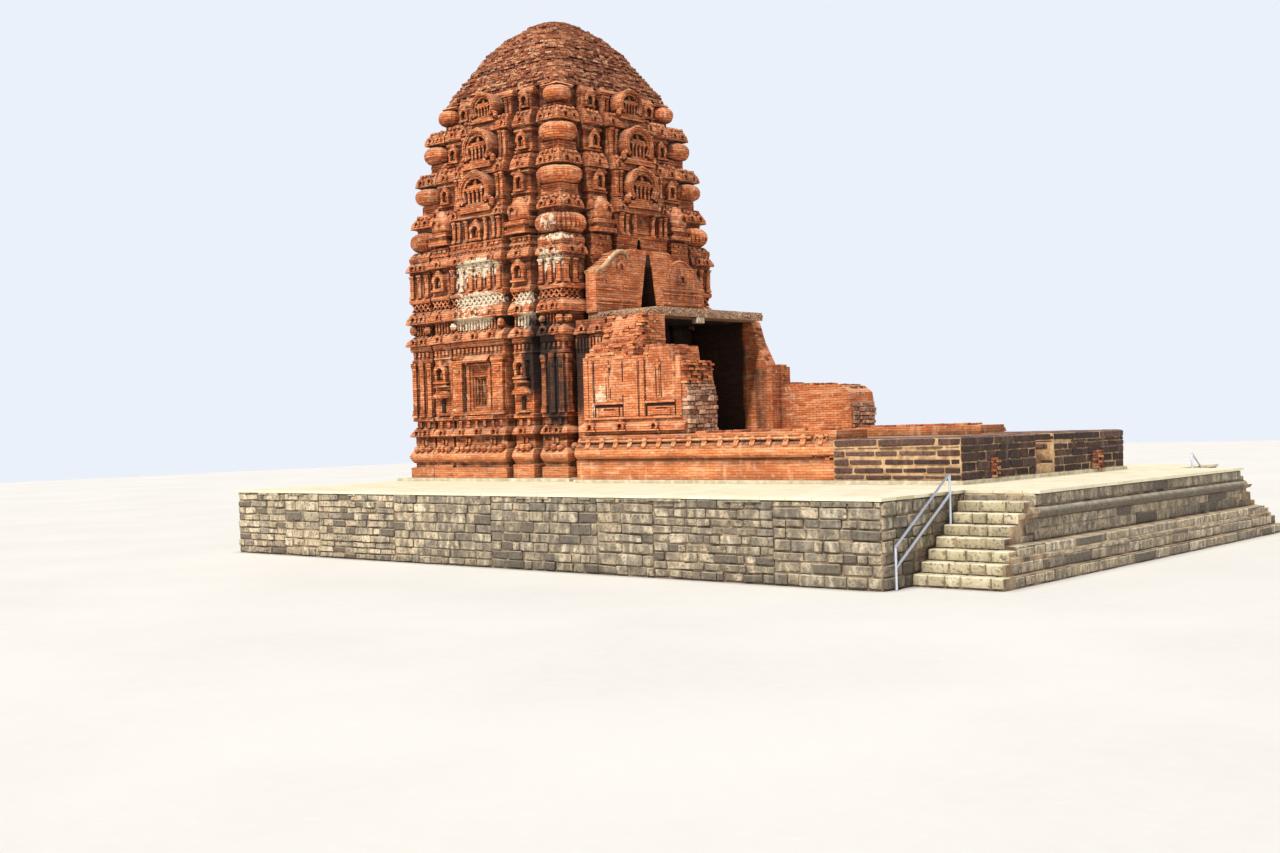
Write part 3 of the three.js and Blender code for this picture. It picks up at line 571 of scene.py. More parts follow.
def arc(radius, start, end, steps, centre=(0.0, 0.0)):
    """Points on an arc in X and Z, angles in degrees from the right-hand side."""
    angles = [radians(start + (end - start) * i / steps) for i in range(steps + 1)]
    return [(centre[0] + radius * cos(a), centre[1] + radius * sin(a)) for a in angles]


BLOCKS = []


def block(name, build, *sizes, shade=None):
    """Builds a small mesh to be copied. It is deleted once the temple is complete.

    Shade is a pair of depths behind the face: painted shade begins at the first and is full at the second."""
    bm = bmesh.new()
    build(bm, *sizes)
    bmesh.ops.recalc_face_normals(bm, faces=bm.faces)
    made = mesh_object(name, [], [])
    bm.to_mesh(made.data)
    bm.free()
    # Painted shade, deeper behind the face.
    if shade:
        layer = made.data.attributes.new("painted_shade", "FLOAT", "POINT")
        layer.data.foreach_set("value", [min(1.0, max(0.0, (v.co.y - shade[0]) / (shade[1] - shade[0])))
                                         for v in made.data.vertices])
    made.hide_render = True
    BLOCKS.append(made)
    return made

# %% The carver's motifs
def build_brick(bm):
    put_box(bm, 0.5, (-0.5, 0.5), (-0.5, 0.5), 0.94)


def build_stone(bm):
    put_box(bm, 0.5, (-0.5, 0.5), (-0.5, 0.5))
    bmesh.ops.bevel(bm, geom=list(bm.edges), offset=0.09, segments=1, affect="EDGES")


def build_leaf(bm):
    put_lump(bm, (0, 0, 0.5), (0.5, 0.5, 0.5), 4, 7)


def build_dot(bm):
    """A horseshoe dot, one unit wide: a ring around a hollow, with a bud on top."""
    put_band(bm, arc(0.5, -35, 215, 9, (0, 0.42)), arc(0.27, -35, 215, 9, (0, 0.42)), -0.32, 0.2)
    put_plate(bm, arc(0.3, 0, 324, 9, (0, 0.42)), -0.02, 0.1)
    put_boxes(bm, (0.62, (-0.26, 0.2), (0.0, 0.12)), (0.1, (-0.3, 0.2), (0.86, 1.12), 0.4))


def build_pilaster(bm, width, height):
    """A shaft on a stepped base, under a stepped capital and a square block."""
    half = width / 2
    put_box(bm, half, (-0.07, 0.05), (0, height))
    for foot, top, wider, proud in ((0, 0.07, 1.3, 0.1), (0.07, 0.13, 1.12, 0.085)):
        put_boxes(bm, (half * wider, (-proud, 0.05), (foot * height, top * height)),
                  (half * wider, (-proud, 0.05), (height * (1 - top), height * (1 - foot))))
    put_box(bm, half * 0.55, (-0.1, 0.05), (height * 0.76, height * 0.84))


def build_niche(bm):
    """A shrine front one unit wide: sill, two posts, an arch, a dark hollow and a stepped crest."""
    put_boxes(bm, (0.5, (-0.2, 0.2), (0.0, 0.1)), (0.42, (-0.15, 0.2), (0.1, 0.17)))
    for side in (-1, 1):
        put_box(bm, sorted((side * 0.4, side * 0.24)), (-0.15, 0.2), (0.17, 0.52))
    put_band(bm, arc(0.44, -18, 198, 10, (0, 0.6)), arc(0.24, -18, 198, 10, (0, 0.58)), -0.19, 0.2)
    put_plate(bm, [(-0.25, 0.1), (0.25, 0.1), (0.25, 0.62), (0, 0.8), (-0.25, 0.62)], 0.12, 0.2)
    put_lump(bm, (0, 0.02, 0.42), (0.09, 0.1, 0.24))
    put_boxes(bm, (0.2, (-0.17, 0.2), (1.0, 1.1), 0.8), (0.12, (-0.15, 0.2), (1.1, 1.22), 0.5))


def build_eave(bm):
    """A little roof of two sloping ledges, one unit wide."""
    put_plate(bm, [(-0.5, 0.0), (0.5, 0.0), (0.42, 0.14), (-0.42, 0.14)], -0.2, 0.2)
    put_plate(bm, [(-0.4, 0.14), (0.4, 0.14), (0.33, 0.24), (-0.33, 0.24)], -0.14, 0.2)


def build_cross(bm):
    """One mesh of a pierced brick frieze: two bars that cross."""
    for side in (-1, 1):
        line = [(-0.5 * side, 0.0), (0.5 * side, 1.0)]
        put_band(bm, [(x + 0.13, z) for x, z in line], [(x - 0.13, z) for x, z in line], -0.16, 0.16)


BRICK_END = block("brick_end", build_brick)
DRESSED_STONE = block("dressed_stone", build_stone)
LEAF = block("leaf_boss", build_leaf)
HORSESHOE_DOT = block("horseshoe_dot", build_dot, shade=(-0.2, -0.02))
NICHE = block("niche_front", build_niche, shade=(-0.05, 0.12))
EAVE = block("little_eave", build_eave)
CROSS = block("frieze_cross", build_cross, shade=(-0.1, 0.1))
WALL_PILASTER = block("wall_pilaster", build_pilaster, 0.17, 1.64, shade=(-0.06, 0.04))
SHORT_PILASTER = block("short_pilaster", build_pilaster, 0.13, 0.64, shade=(-0.06, 0.04))
print(sum(len(made.data.polygons) for made in BLOCKS), "faces in", len(BLOCKS), "motifs")

# %% [markdown]
# ## Bands of the tower
# A band is the stepped plan, drawn again at each height of its profile and pushed out or in there.
# Faces that look outward take the whole of a moulding, and the returns between two bays only a
# third, so the bays stay apart. Each kind of bay may have a profile of its own.

# %% The stepped plan
def side_plan(scale, out):
    """One side from its left corner: (across, out, bay), all but the next side's corner."""
    corner, side, centre, core = (out[bay] for bay in ("corner", "side", "centre", "core"))
    edge = CORNER_FROM * scale - RETURN * corner
    far, near = SIDE_TO * scale + RETURN * side, SIDE_FROM * scale - RETURN * side
    middle = CENTRE_HALF * scale + RETURN * centre
    front = {"corner": CORNER * scale + corner, "side": SIDE * scale + side,
             "centre": CENTRE * scale + centre, "core": CORE * scale + core}
    right = [(middle, "centre"), (middle, "core"), (near, "core"), (near, "side"), (far, "side"),
             (far, "core"), (edge, "core"), (edge, "corner")]
    left = [(-across, bay) for across, bay in reversed(right)]
    corner_point = (-front["corner"], "corner")
    return [(across, front[bay], bay) for across, bay in [corner_point] + left + right]


def profile_at(profile, z):
    """How far a profile stands out at a height, between the points that it is given by."""
    for (low, first), (high, last) in zip(profile, profile[1:]):
        if low <= z <= high:
            return first + (last - first) * (z - low) / max(high - low, 1e-6)
    return profile[-1][1] if z > profile[-1][0] else profile[0][1]


STEP = 0.24
BASE_PLAN = side_plan(1.0, dict.fromkeys(("corner", "side", "centre", "core"), 0.0))


def plan_points(scale, out):
    """The whole plan, counter-clockwise, with each long edge divided: (x, y, bay, side)."""
    corners = [(side, point[2], *(Vector(on_side(side, *p[:2], 0.0)) for p in (point, base)))
               for side in SIDES for point, base in zip(side_plan(scale, out), BASE_PLAN)]
    points = []
    for (side, bay, here, model), (*_, there, next_model) in zip(corners, corners[1:] + corners[:1]):
        parts = max(1, round((next_model - model).length / STEP))
        for part in range(parts):
            spot = here.lerp(there, part / parts)
            points.append((spot.x, spot.y, bay, side))
    return points

# %% Zones of plaster, soot and painted shade
PLASTER_ZONES = [
    ((0.1, -3.5, 7.86), (1.6, 0.6, 0.5), 0.62), ((-0.65, -3.5, 7.4), (0.4, 0.5, 0.6), 0.56),
    ((0.1, -3.5, 6.95), (1.8, 0.6, 0.36), 0.66), ((-0.1, -3.5, 6.62), (1.5, 0.6, 0.3), 0.5),
    ((-0.2, -3.5, 6.3), (1.5, 0.6, 0.34), 0.68), ((1.9, -3.4, 6.87), (0.8, 0.6, 0.34), 0.62),
    ((1.95, -3.4, 6.27), (0.8, 0.6, 0.4), 0.64), ((2.8, -3.25, 7.85), (0.9, 0.6, 0.6), 0.6),
    ((2.9, -3.1, 8.5), (0.8, 0.7, 0.2), 0.6), ((2.8, -3.3, 8.95), (0.5, 0.5, 0.5), 0.52),
    ((-0.7, -3.5, 3.9), (0.8, 0.5, 0.8), 0.42), ((5.0, -4.0, 3.9), (0.9, 0.4, 1.0), 0.47),
    ((3.8, -1.9, 7.9), (0.3, 0.6, 0.3), 0.5), ((-3.5, 0.4, 7.9), (0.5, 1.4, 0.4), 0.58),
    ((-3.5, -0.3, 6.9), (0.5, 1.5, 0.3), 0.6), ((-0.6, 3.5, 6.9), (1.6, 0.6, 0.3), 0.56),
    ((0.9, 3.5, 7.8), (1.1, 0.6, 0.4), 0.56), ((6.4, 2.76, 3.9), (0.5, 0.4, 1.3), 0.36),
    ((7.3, 2.76, 3.7), (0.3, 0.3, 0.9), 0.36), ((5.22, 2.3, 4.2), (0.2, 0.3, 1.4), 0.42),
]
# Soot stains; the zone round (4.6, 0.0, 5.0), below the slab, darkens the inside of the porch.
SOOT_AND_SHADE_ZONES = [
    ((2.9, -3.25, 4.3), (0.75, 0.5, 1.7), 0.92), ((2.03, -3.2, 5.2), (0.35, 0.6, 1.6), 1.15),
    ((2.45, -3.2, 5.7), (0.7, 0.6, 0.8), 1.05), ((0.9, -3.1, 6.37), (0.5, 0.6, 0.32), 1.4),
    ((3.7, -2.7, 4.7), (0.75, 0.6, 2.2), 1.1),
    ((4.6, 0.0, 5.0), (2.4, 2.6, 2.8), 1.2, 6.1), ((-2.2, 3.3, 5.6), (0.6, 0.7, 1.6), 0.9),
    ((-3.3, -2.2, 5.6), (0.6, 0.5, 1.8), 0.9), ((4.6, 3.2, 4.6), (1.0, 0.8, 2.2), 0.8),
    ((2.0, 3.2, 6.2), (0.5, 0.7, 0.9), 1.0), ((-3.2, 2.9, 8.5), (0.7, 0.7, 1.2), 0.7),
    ((3.75, 1.5, 7.2), (0.3, 1.5, 1.4), 0.46),
]
BEHIND_FACE = EAST_FACE - 0.05
# Rooms in deep shade: the porch, the sanctum, the shaft and the depth of the slit, darkened as painted shade.
DARK_ROOMS = [((3.2, -2.35, 2.69), (5.12, 2.35, 6.2), 1.25), ((5.4, -2.35, 2.69), (5.98, 2.35, 4.9), 0.62),
              ((-1.7, -1.7, 2.6), (3.2, 1.7, 6.3), 1.0),
              ((-1.4, -0.9, 6.37), (BEHIND_FACE + 0.01, 0.6, 8.62), 2.2),
              ((EAST_FACE - 0.1, -0.64, 6.37), (3.61, 0.34, 8.12), 2.2)]


def zone_weight(place, zones):
    """The strongest of the zones at a place, full in the middle and nothing at the rim.

    A zone is a centre, its reach each way and its strength, and it may stop at a height."""
    best = 0.0
    # Inside the dark rooms the soot weight is painted shade.
    if zones is SOOT_AND_SHADE_ZONES:
        best = max([strength for low, high, strength in DARK_ROOMS
                    if all(a < p < b for a, p, b in zip(low, place, high))], default=0.0)
    for centre, reach, strength, *top in zones:
        if top and place[2] > top[0]:
            continue
        far = sum(((p - c) / r) ** 2 for p, c, r in zip(place, centre, reach))
        if far < 1.0:
            best = max(best, strength * min(1.0, 2.0 * (1.0 - sqrt(far))))
    return best


def weigh(piece, painted_shade=None):
    """Writes the zones to a mesh as vertex weights, and painted shade where a list gives it."""
    mesh = piece.data
    for name, zones in (("plaster", PLASTER_ZONES), ("soot_and_shade", SOOT_AND_SHADE_ZONES)):
        layer = mesh.attributes.get(name) or mesh.attributes.new(name, "FLOAT", "POINT")
        layer.data.foreach_set("value", [zone_weight(v.co, zones) for v in mesh.vertices])
    if painted_shade:
        layer = mesh.attributes.new("painted_shade", "FLOAT", "POINT")
        layer.data.foreach_set("value", painted_shade)
    return piece

# %% [markdown]
# ## Worn courses
# Rain and salts wear each course of brick back by its own amount, so an old wall is a stack of
# thin ledges. Every band gets both edges of every course, and each stretch of a course is pushed in
# or out by a random amount that grows towards the exposed top. Under an overhang and in the recessed
# core between the bays it is painted darker, as shade, and so is the inside of its shaft.

# %% Band maker
WEAR = 0.009
LEDGE = 0.006  # from the middle of a joint to the edge of the course
STRETCH = 0.3  # length of a course that stands in or out as one
MERGE = 0.0006


def course_edges(low, high):
    """Both edges of every course between two heights."""
    edges = []
    for course in range(ceil((low + 0.02) / COURSE), floor((high - 0.02) / COURSE) + 1):
        edges += [course * COURSE - LEDGE, course * COURSE + LEDGE]
    return edges


def course_push(x, y, z):
    """How far a stretch of a course stands in or out."""
    spot = Vector((x / STRETCH, y / STRETCH, floor(z / COURSE) * 7.31))
    reach = 0.010 + 0.012 * min(1.0, max(0.0, (z - 7.5) / 2.5))
    return (0.7 * noise.noise(spot) + 0.5 * noise.cell(spot) - 0.25) * reach


def overhang(profile, z):
    """How deep a height lies under what stands out above it."""
    above = max([out for height, out in profile if z - 1e-4 <= height <= z + 0.4], default=0.0)
    return max(0.0, above - profile_at(profile, z))


def weld(piece, closed_at=()):
    """Joins points that coincide, fills the flat rims at given heights, and turns faces outward."""
    bm = bmesh.new()
    bm.from_mesh(piece.data)
    bmesh.ops.remove_doubles(bm, verts=bm.verts, dist=MERGE)
    bmesh.ops.dissolve_degenerate(bm, edges=bm.edges, dist=MERGE)
    for z in closed_at:
        rim = [e for e in bm.edges if e.is_boundary and all(abs(v.co.z - z) < 1e-5 for v in e.verts)]
        bmesh.ops.triangle_fill(bm, edges=rim, use_beauty=True)
    bmesh.ops.recalc_face_normals(bm, faces=bm.faces)
    if bm.calc_volume(signed=True) < 0:
        bmesh.ops.reverse_faces(bm, faces=bm.faces)
    bm.to_mesh(piece.data)
    bm.free()
    return piece


def worn_point(x, y, z, wear=WEAR):
    """A point of old brickwork: moved a little, more at the scale of a brick than of a wall."""
    near = noise.noise_vector(Vector((x, y, z)) * 5.1) * wear
    far = noise.noise_vector(Vector((x, y, z)) * 1.1) * wear
    return (x + near.x + far.x, y + near.y + far.y, z + 0.4 * near.z)


def skin(levels, count):
    """Faces between rings of points that lie one above the other."""
    return [(low + i, low + (i + 1) % count, low + count + (i + 1) % count, low + count + i)
            for low in range(0, (levels - 1) * count, count) for i in range(count)]


def tower_band(name, scale, profiles, shaft, cut_east=None, finish=None):
    """A closed ring of brickwork between the outer profiles and a square shaft."""
    heights = {z for profile in profiles.values() for z, _ in profile}
    for z in course_edges(min(heights), max(heights)):
        if min(abs(z - height) for height in heights) > 0.008:
            heights.add(z)
    heights = sorted(heights)
    rings, dirt_and_shade = [], []
    for z in heights:
        out = {bay: profile_at(profiles[bay], z) for bay in profiles}
        under = {bay: min(0.9, overhang(profiles[bay], z) / 0.12) for bay in profiles}
        rim = z in (heights[0], heights[-1])
        ring = []
        for x, y, bay, side in plan_points(scale, out):
            if not rim:
                push = course_push(x, y, z)
                outward = on_side(side, 0.0, push, 0.0)
                x, y = x + outward[0], y + outward[1]
            if cut_east and abs(y) < cut_east:
                x = min(x, EAST_FACE)
            ring.append((x, y, z) if rim else worn_point(x, y, z))
            # Painted shade: the recessed core between the bays, and under an overhang.
            dirt_and_shade.append(max(0.9 if bay == "core" else 0.0, under[bay]))
        rings.append(ring)
    verts = [point for ring in rings for point in ring]
    faces = skin(len(rings), len(rings[0]))
    wall = len(verts)
    for z in (heights[0], heights[-1]):
        verts += [(x * shaft, y * shaft, z) for x, y in ((-1, -1), (1, -1), (1, 1), (-1, 1))]
    faces += [(wall + i, wall + 4 + i, wall + 4 + (i + 1) % 4, wall + (i + 1) % 4) for i in range(4)]
    piece = mesh_object(name, verts, faces, finish or FIRED_BRICK)
    # The eight points of the shaft are fully in painted shade.
    return weld(weigh(piece, dirt_and_shade + [1.0] * 8), (heights[0], heights[-1]))


def slice_across(bm, axis, place):
    """Slices all faces by the plane across one axis."""
    normal = Vector((0.0, 0.0, 0.0))
    normal[axis] = 1.0
    bmesh.ops.bisect_plane(bm, geom=bm.verts[:] + bm.edges[:] + bm.faces[:], plane_co=normal * place,
                           plane_no=normal, dist=0.0005)


def cut_away(piece, low, high):
    """Cuts a box out of a piece."""
    tool = block("cutter", lambda bm: put_box(bm, *zip(low, high)))
    return cut_by(piece, tool)


def cut_by(piece, tool, slice_at=None):
    """Cuts a tool out of a piece, and slices the result at a place in X, so that shade can start there."""
    modifier = piece.modifiers.new("cut", "BOOLEAN")
    modifier.object = tool
    modifier.operation = "DIFFERENCE"
    modifier.solver = "EXACT"
    frozen(piece)
    if slice_at:
        bm = bmesh.new()
        bm.from_mesh(piece.data)
        slice_across(bm, 0, slice_at)
        bm.to_mesh(piece.data)
        bm.free()
    return weigh(piece)

# %% [markdown]
# ## The tower's mouldings
# Each band of the tower has three kinds of moulding. A torus is a half-round roll, an eave is a
# small curved roof with a sharp lower edge, and a plain course is a flat step. The profiles below
# list height and how far the brick stands out from the bay, in metres, read from the photograph.

# %% Rolls, eaves and cushions' beds
def roll(low, high, base, bulge, steps=5):
    """A half-round moulding."""
    return [(low + (high - low) * i / steps, base + bulge * sin(pi * i / steps))
            for i in range(steps + 1)]


def eave(low, high, base, reach):
    """A little curved roof: a sharp lip, then a slope that curves back to the wall."""
    rise = high - low
    return [(low, base), (low + 0.015, base + reach), (low + 0.2 * rise, base + 1.05 * reach),
            (low + 0.55 * rise, base + 0.8 * reach), (low + 0.85 * rise, base + 0.35 * reach), (high, base)]


def bays(corner, side, centre, recess=0.4):
    """Profiles for the three kinds of bay. The core between them follows the centre, weakly."""
    return {"corner": corner, "side": side, "centre": centre,
            "core": [(z, recess * out) for z, out in centre]}


foot_roll = roll(2.25, 2.62, 0.05, 0.1, 6) + [(2.64, -0.02), (PLINTH_TOP, 0.0)]
plinth = bays([(FOOT, 0.11), (2.1, 0.11), (2.12, 0.0), (2.23, 0.0)] + foot_roll,
              [(FOOT, 0.11), (2.18, 0.11), (2.2, 0.03)] + foot_roll,
              [(FOOT, 0.11), (2.1, 0.11), (2.12, 0.0), (2.23, 0.0)] + foot_roll)
settle(tower_band("tower_plinth_brickwork", 1.0, plinth, 1.5, cut_east=3.5, finish=PLINTH_BRICK), "brick",
       "tower_plinth")

# %% Walls, with a doorway and three window pockets
wall_foot = [(PLINTH_TOP, 0.0), (3.0, 0.0)] + eave(3.02, 3.25, 0.0, 0.125)
wall_foot += [(3.27, -0.04), (3.49, -0.04), (3.51, 0.05), (3.6, 0.05), (3.62, 0.0)]
wall_head = [(5.26, 0.0), (5.28, 0.03), (5.36, 0.03), (5.38, 0.0), (5.6, 0.0), (5.62, 0.05), (5.68, 0.07),
             (WALL_TOP, 0.07)]
side_head = [(5.3, 0.0), (5.34, 0.04), (5.4, 0.0), (5.6, 0.0), (5.62, 0.05), (WALL_TOP, 0.06)]
wall = bays(wall_foot + wall_head, wall_foot + side_head, wall_foot + wall_head)
WALLS = tower_band("sanctum_brick_walls", 1.0, wall, 1.5, cut_east=3.5)
DOOR_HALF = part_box("east_wall_over_door")[1].y
DOOR_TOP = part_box("door_lintel")[1].z
WALLS = cut_away(WALLS, (1.2, -DOOR_HALF, PLINTH_TOP - 0.1), (3.6, DOOR_HALF, DOOR_TOP))
NICHE_LOW, NICHE_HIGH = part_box("blind_window_south")
for side in CLOSED_SIDES:
    low = on_side(side, NICHE_LOW.x, CENTRE - 0.2, NICHE_LOW.z)
    high = on_side(side, NICHE_HIGH.x, CENTRE + 0.1, NICHE_HIGH.z)
    WALLS = cut_away(WALLS, [min(p) for p in zip(low, high)], [max(p) for p in zip(low, high)])
settle(WALLS, "brick", "sanctum_wall_south", "sanctum_wall_north", "sanctum_wall_west",
       "east_wall_south_of_door", "east_wall_north_of_door", "east_wall_over_door")

# %% Two cornices
lower = eave(WALL_TOP, 6.05, 0.0, 0.165) + [(6.1, -0.06), (6.38, -0.06), (CORNICE_MIDDLE, 0.02)]
upper = eave(CORNICE_MIDDLE, 6.79, 0.01, 0.14)
upper += [(6.83, -0.04), (7.05, -0.04), (7.07, 0.04), (7.12, 0.07), (7.2, 0.06), (CORNICE_TOP, 0.0)]
settle(tower_band("lower_cornice_brickwork", 1.0, bays(lower, lower, lower), 1.5, cut_east=3.5), "brick",
       "lower_wall_cornice")
UPPER = tower_band("upper_cornice_brickwork", 1.0, bays(upper, upper, upper), 1.5, cut_east=2.45)

# %% First storey and the tall slit
SLIT_FOOT, SLIT_TOP, SLIT_HALF, SLIT_MIDDLE = CORNICE_MIDDLE - 0.02, 8.6, 0.45, -0.15
first_head = [(7.93, 0.0), (7.95, 0.03), (8.0, 0.05)] + eave(8.02, 8.29, 0.02, 0.11)
first_centre = [(CORNICE_TOP, 0.0)] + first_head + [(8.36, 0.0), (8.38, 0.04), (8.44, 0.05), (8.46, 0.0),
                                                    (8.58, 0.0), (8.6, 0.03), (8.63, 0.03)]
first_corner = [(CORNICE_TOP, 0.0)] + first_head + [(8.33, 0.03), (8.4, 0.05), (8.48, 0.04), (8.56, -0.02),
                                                    (8.63, -0.08)]
FIRST = tower_band("first_storey_brickwork", 1.0, bays(first_corner, first_centre, first_centre), 1.5,
                   cut_east=2.45)
slit = block("slit_cutter", lambda bm: put_plate(
    bm, [(SLIT_MIDDLE + across, z) for across, z in ((-SLIT_HALF, SLIT_FOOT), (SLIT_HALF, SLIT_FOOT),
                                                     (0.05, SLIT_TOP), (-0.05, SLIT_TOP))], -3.7, -1.2))
slit.data.transform(Matrix.Rotation(quarter(EAST), 4, "Z"))
settle(cut_by(UPPER, slit, BEHIND_FACE), "brick", "upper_wall_cornice")
settle(cut_by(FIRST, slit, BEHIND_FACE), "brick", "first_storey")

# %% Upper storeys
SECOND, THIRD, FOURTH, FIFTH = (reach / CORNER for reach in (3.12, 3.0, 2.76, 2.44))


def storey(name, scale, shaft, corner, side, centre):
    settle(tower_band(name + "_brickwork", scale, bays(corner, side, centre), shaft), "brick", name)


corner = [(8.63, -0.25), (9.21, -0.25), (9.23, -0.06), (9.31, -0.05)]
corner += eave(9.33, 9.6, 0.0, 0.09) + [(9.63, -0.04), (9.77, -0.06)]
side = [(8.63, 0.0), (8.7, 0.0), (8.72, 0.05), (8.78, 0.05), (8.8, -0.03), (8.88, -0.03)]
side += roll(8.9, 9.02, 0.0, 0.1, 3) + roll(9.04, 9.2, -0.02, 0.1, 3)
side += [(9.28, -0.1), (9.3, -0.04)] + eave(9.33, 9.6, 0.0, 0.09) + [(9.63, -0.03), (9.77, -0.05)]
centre = [(8.63, 0.0), (8.66, 0.04), (8.72, 0.04), (8.74, 0.0), (9.3, 0.0)]
centre += eave(9.32, 9.6, 0.0, 0.09) + [(9.77, -0.02)]
storey("second_storey", SECOND, 1.3, corner, side, centre)

corner = [(9.77, -0.06), (10.05, -0.06), (10.07, -0.25), (10.55, -0.25), (10.57, -0.06)]
corner += eave(10.6, 10.9, 0.0, 0.09) + [(11.0, -0.05)]
side = [(9.77, -0.05), (9.85, -0.02), (9.87, 0.04), (9.93, 0.04), (9.95, -0.02), (10.4, -0.02)]
side += roll(10.42, 10.54, 0.0, 0.07, 3) + eave(10.58, 10.9, 0.0, 0.09) + [(11.0, -0.05)]
centre = [(9.77, -0.02), (10.56, -0.02)] + eave(10.58, 10.9, 0.0, 0.09) + [(11.0, -0.04)]
storey("third_storey", THIRD, 1.3, corner, side, centre)

corner = [(11.0, -0.03), (11.3, -0.03), (11.32, -0.22), (11.82, -0.22), (11.84, -0.03)]
corner += eave(11.87, 12.2, 0.0, 0.1) + [(12.3, -0.08)]
side = [(11.0, -0.04), (11.08, -0.02), (11.1, 0.04), (11.16, 0.04), (11.18, -0.03), (11.66, -0.03)]
side += roll(11.68, 11.8, 0.0, 0.06, 3) + eave(11.85, 12.18, 0.0, 0.09) + [(12.3, -0.08)]
centre = [(11.0, -0.03), (11.84, -0.03)] + eave(11.86, 12.18, 0.0, 0.09) + [(12.3, -0.07)]
storey("fourth_storey", FOURTH, 1.05, corner, side, centre)

corner = [(12.3, -0.05), (12.48, -0.05), (12.5, -0.2), (12.93, -0.2), (12.95, -0.02), (13.0, 0.03),
                (13.06, -0.03)]
side = [(12.3, -0.05), (12.36, 0.02), (12.42, 0.02), (12.44, -0.05), (12.8, -0.05), (12.84, 0.03),
              (12.92, 0.04), (12.98, 0.0), (13.06, -0.04)]
centre = [(12.3, -0.05), (12.84, -0.05), (12.88, 0.02), (12.96, 0.03), (13.06, -0.05)]
storey("fifth_storey", FIFTH, 1.05, corner, side, centre)

# %% [markdown]
# ## Corner cushions
# On each corner of every storey sits a ribbed cushion, like a flattened melon: the fruit that such
# towers carry. It follows a rule, so a tree makes it from a grid. One way round the grid becomes
# the angle, the other way the height, and ribs are a wave of the radius.

# %% A ribbed cushion by rule
def cushion_tree():
    """Plots a cushion over a grid: reach is its outline from above, and height follows it up."""
    node, given, result = new_tree("ribbed_cushion", Seats="Geometry", Ribs="Int", Rib_depth="Float",
                                   Seed="Int", Finish="Material")
    grid = node("GeometryNodeMeshGrid", {"Size X": 1.0, "Size Y": 1.0, "Vertices X": 61, "Vertices Y": 11})
    place = node("SeparateXYZ", {0: node("GeometryNodeInputPosition")}, out=None)
    turn = node("Math", {0: place.outputs[0], 1: 2 * pi}, operation="MULTIPLY")
    climb = node("Math", {0: place.outputs[1], 1: pi}, operation="MULTIPLY")
    full = node("Math", {0: node("Math", {0: climb}, operation="COSINE"), 1: 0.42}, operation="POWER")
    height = node("Math", {0: climb}, operation="SINE")
    wave = node("Math", {0: turn, 1: given["Ribs"]}, operation="MULTIPLY")
    for step in ("COSINE", "ABSOLUTE"):
        wave = node("Math", {0: wave}, operation=step)
    reach = node("Math", {0: wave, 1: given["Rib depth"], 2: 1.0}, operation="MULTIPLY_ADD")
    reach = node("Math", {0: reach, 1: full}, operation="MULTIPLY")
    east, north = (node("Math", {0: node("Math", {0: turn}, operation=part), 1: reach}, operation="MULTIPLY")
                   for part in ("COSINE", "SINE"))
    spot = node("CombineXYZ", {0: east, 1: north, 2: height})
    shape = node("GeometryNodeSetPosition", {"Geometry": grid, "Position": spot})
    shape = node("GeometryNodeMergeByDistance", {"Geometry": shape, "Distance": 0.002})
    size = node("GeometryNodeInputNamedAttribute", {"Name": "size"}, data_type="FLOAT_VECTOR")
    turned = node("FunctionNodeRandomValue", {0: (0.0,) * 3, 1: (0.02, 0.02, 3.0), "Seed": given["Seed"]},
                  data_type="FLOAT_VECTOR")
    turned = node("FunctionNodeEulerToRotation", {0: turned})
    copies = node("GeometryNodeInstanceOnPoints",
                  {"Points": given["Seats"], "Instance": shape, "Rotation": turned, "Scale": size})
    return closed(node, given, result, copies, 0.03, 4.0)


CUSHION = cushion_tree()


def cushions(name, low, high, centre, radius, ribs, depth):
    """Four cushions, one on each corner of a storey."""
    seats = [(x * centre, y * centre, (low + high) / 2) for x in (-1, 1) for y in (-1, 1)]
    host = mesh_object(name, seats, [])
    size = host.data.attributes.new("size", "FLOAT_VECTOR", "POINT")
    for item in size.data:
        item.vector = (radius / (1 + depth), radius / (1 + depth), (high - low) / 2)
    host = grown(host, CUSHION, Ribs=ribs, Rib_depth=depth, Seed=5, Finish=FIRED_BRICK)
    return settle(weigh(host), "brick")


cushions("second_storey_cushions", 8.63, 9.23, 2.71, 0.73, 15, 0.13)
cushions("third_storey_cushions", 10.06, 10.57, 2.63, 0.66, 12, 0.05)
cushions("fourth_storey_cushions", 11.31, 11.84, 2.49, 0.55, 10, 0.03)
cushions("fifth_storey_cushions", 12.49, 12.95, 2.26, 0.41, 10, 0.03)

# %% [markdown]
# ## Carved rows around the tower
# The same small blocks run round all four sides: horseshoe dots on every eave, leaves on the foot
# roll, little blocks under the sills, dentils under the cornice, a pierced frieze and round bosses.
# A row is a list of seats, and one call sets a copy on every seat of all the rows.

# %% Rows of small blocks
MIDDLE_OF = {"corner": (CORNER_FROM + CORNER) / 2, "side": (SIDE_FROM + SIDE_TO) / 2, "centre": 0.0}
HALF_OF = {"corner": (CORNER - CORNER_FROM) / 2, "side": (SIDE_TO - SIDE_FROM) / 2, "centre": CENTRE_HALF}
FRONT_OF = {"corner": CORNER, "side": SIDE, "centre": CENTRE}
ALL_BAYS = (("corner", -1), ("side", -1), ("centre", 1), ("side", 1), ("corner", 1))
ON_SIDES = {"side": (0.0,)}


def places_along(bay, pitch, margin=0.06):
    """Even places across the front of one bay, about a pitch apart."""
    half = HALF_OF[bay] - margin
    count = max(1, round(2 * half / pitch))
    return [half * (2 * (i + 0.5) / count - 1) for i in range(count)]


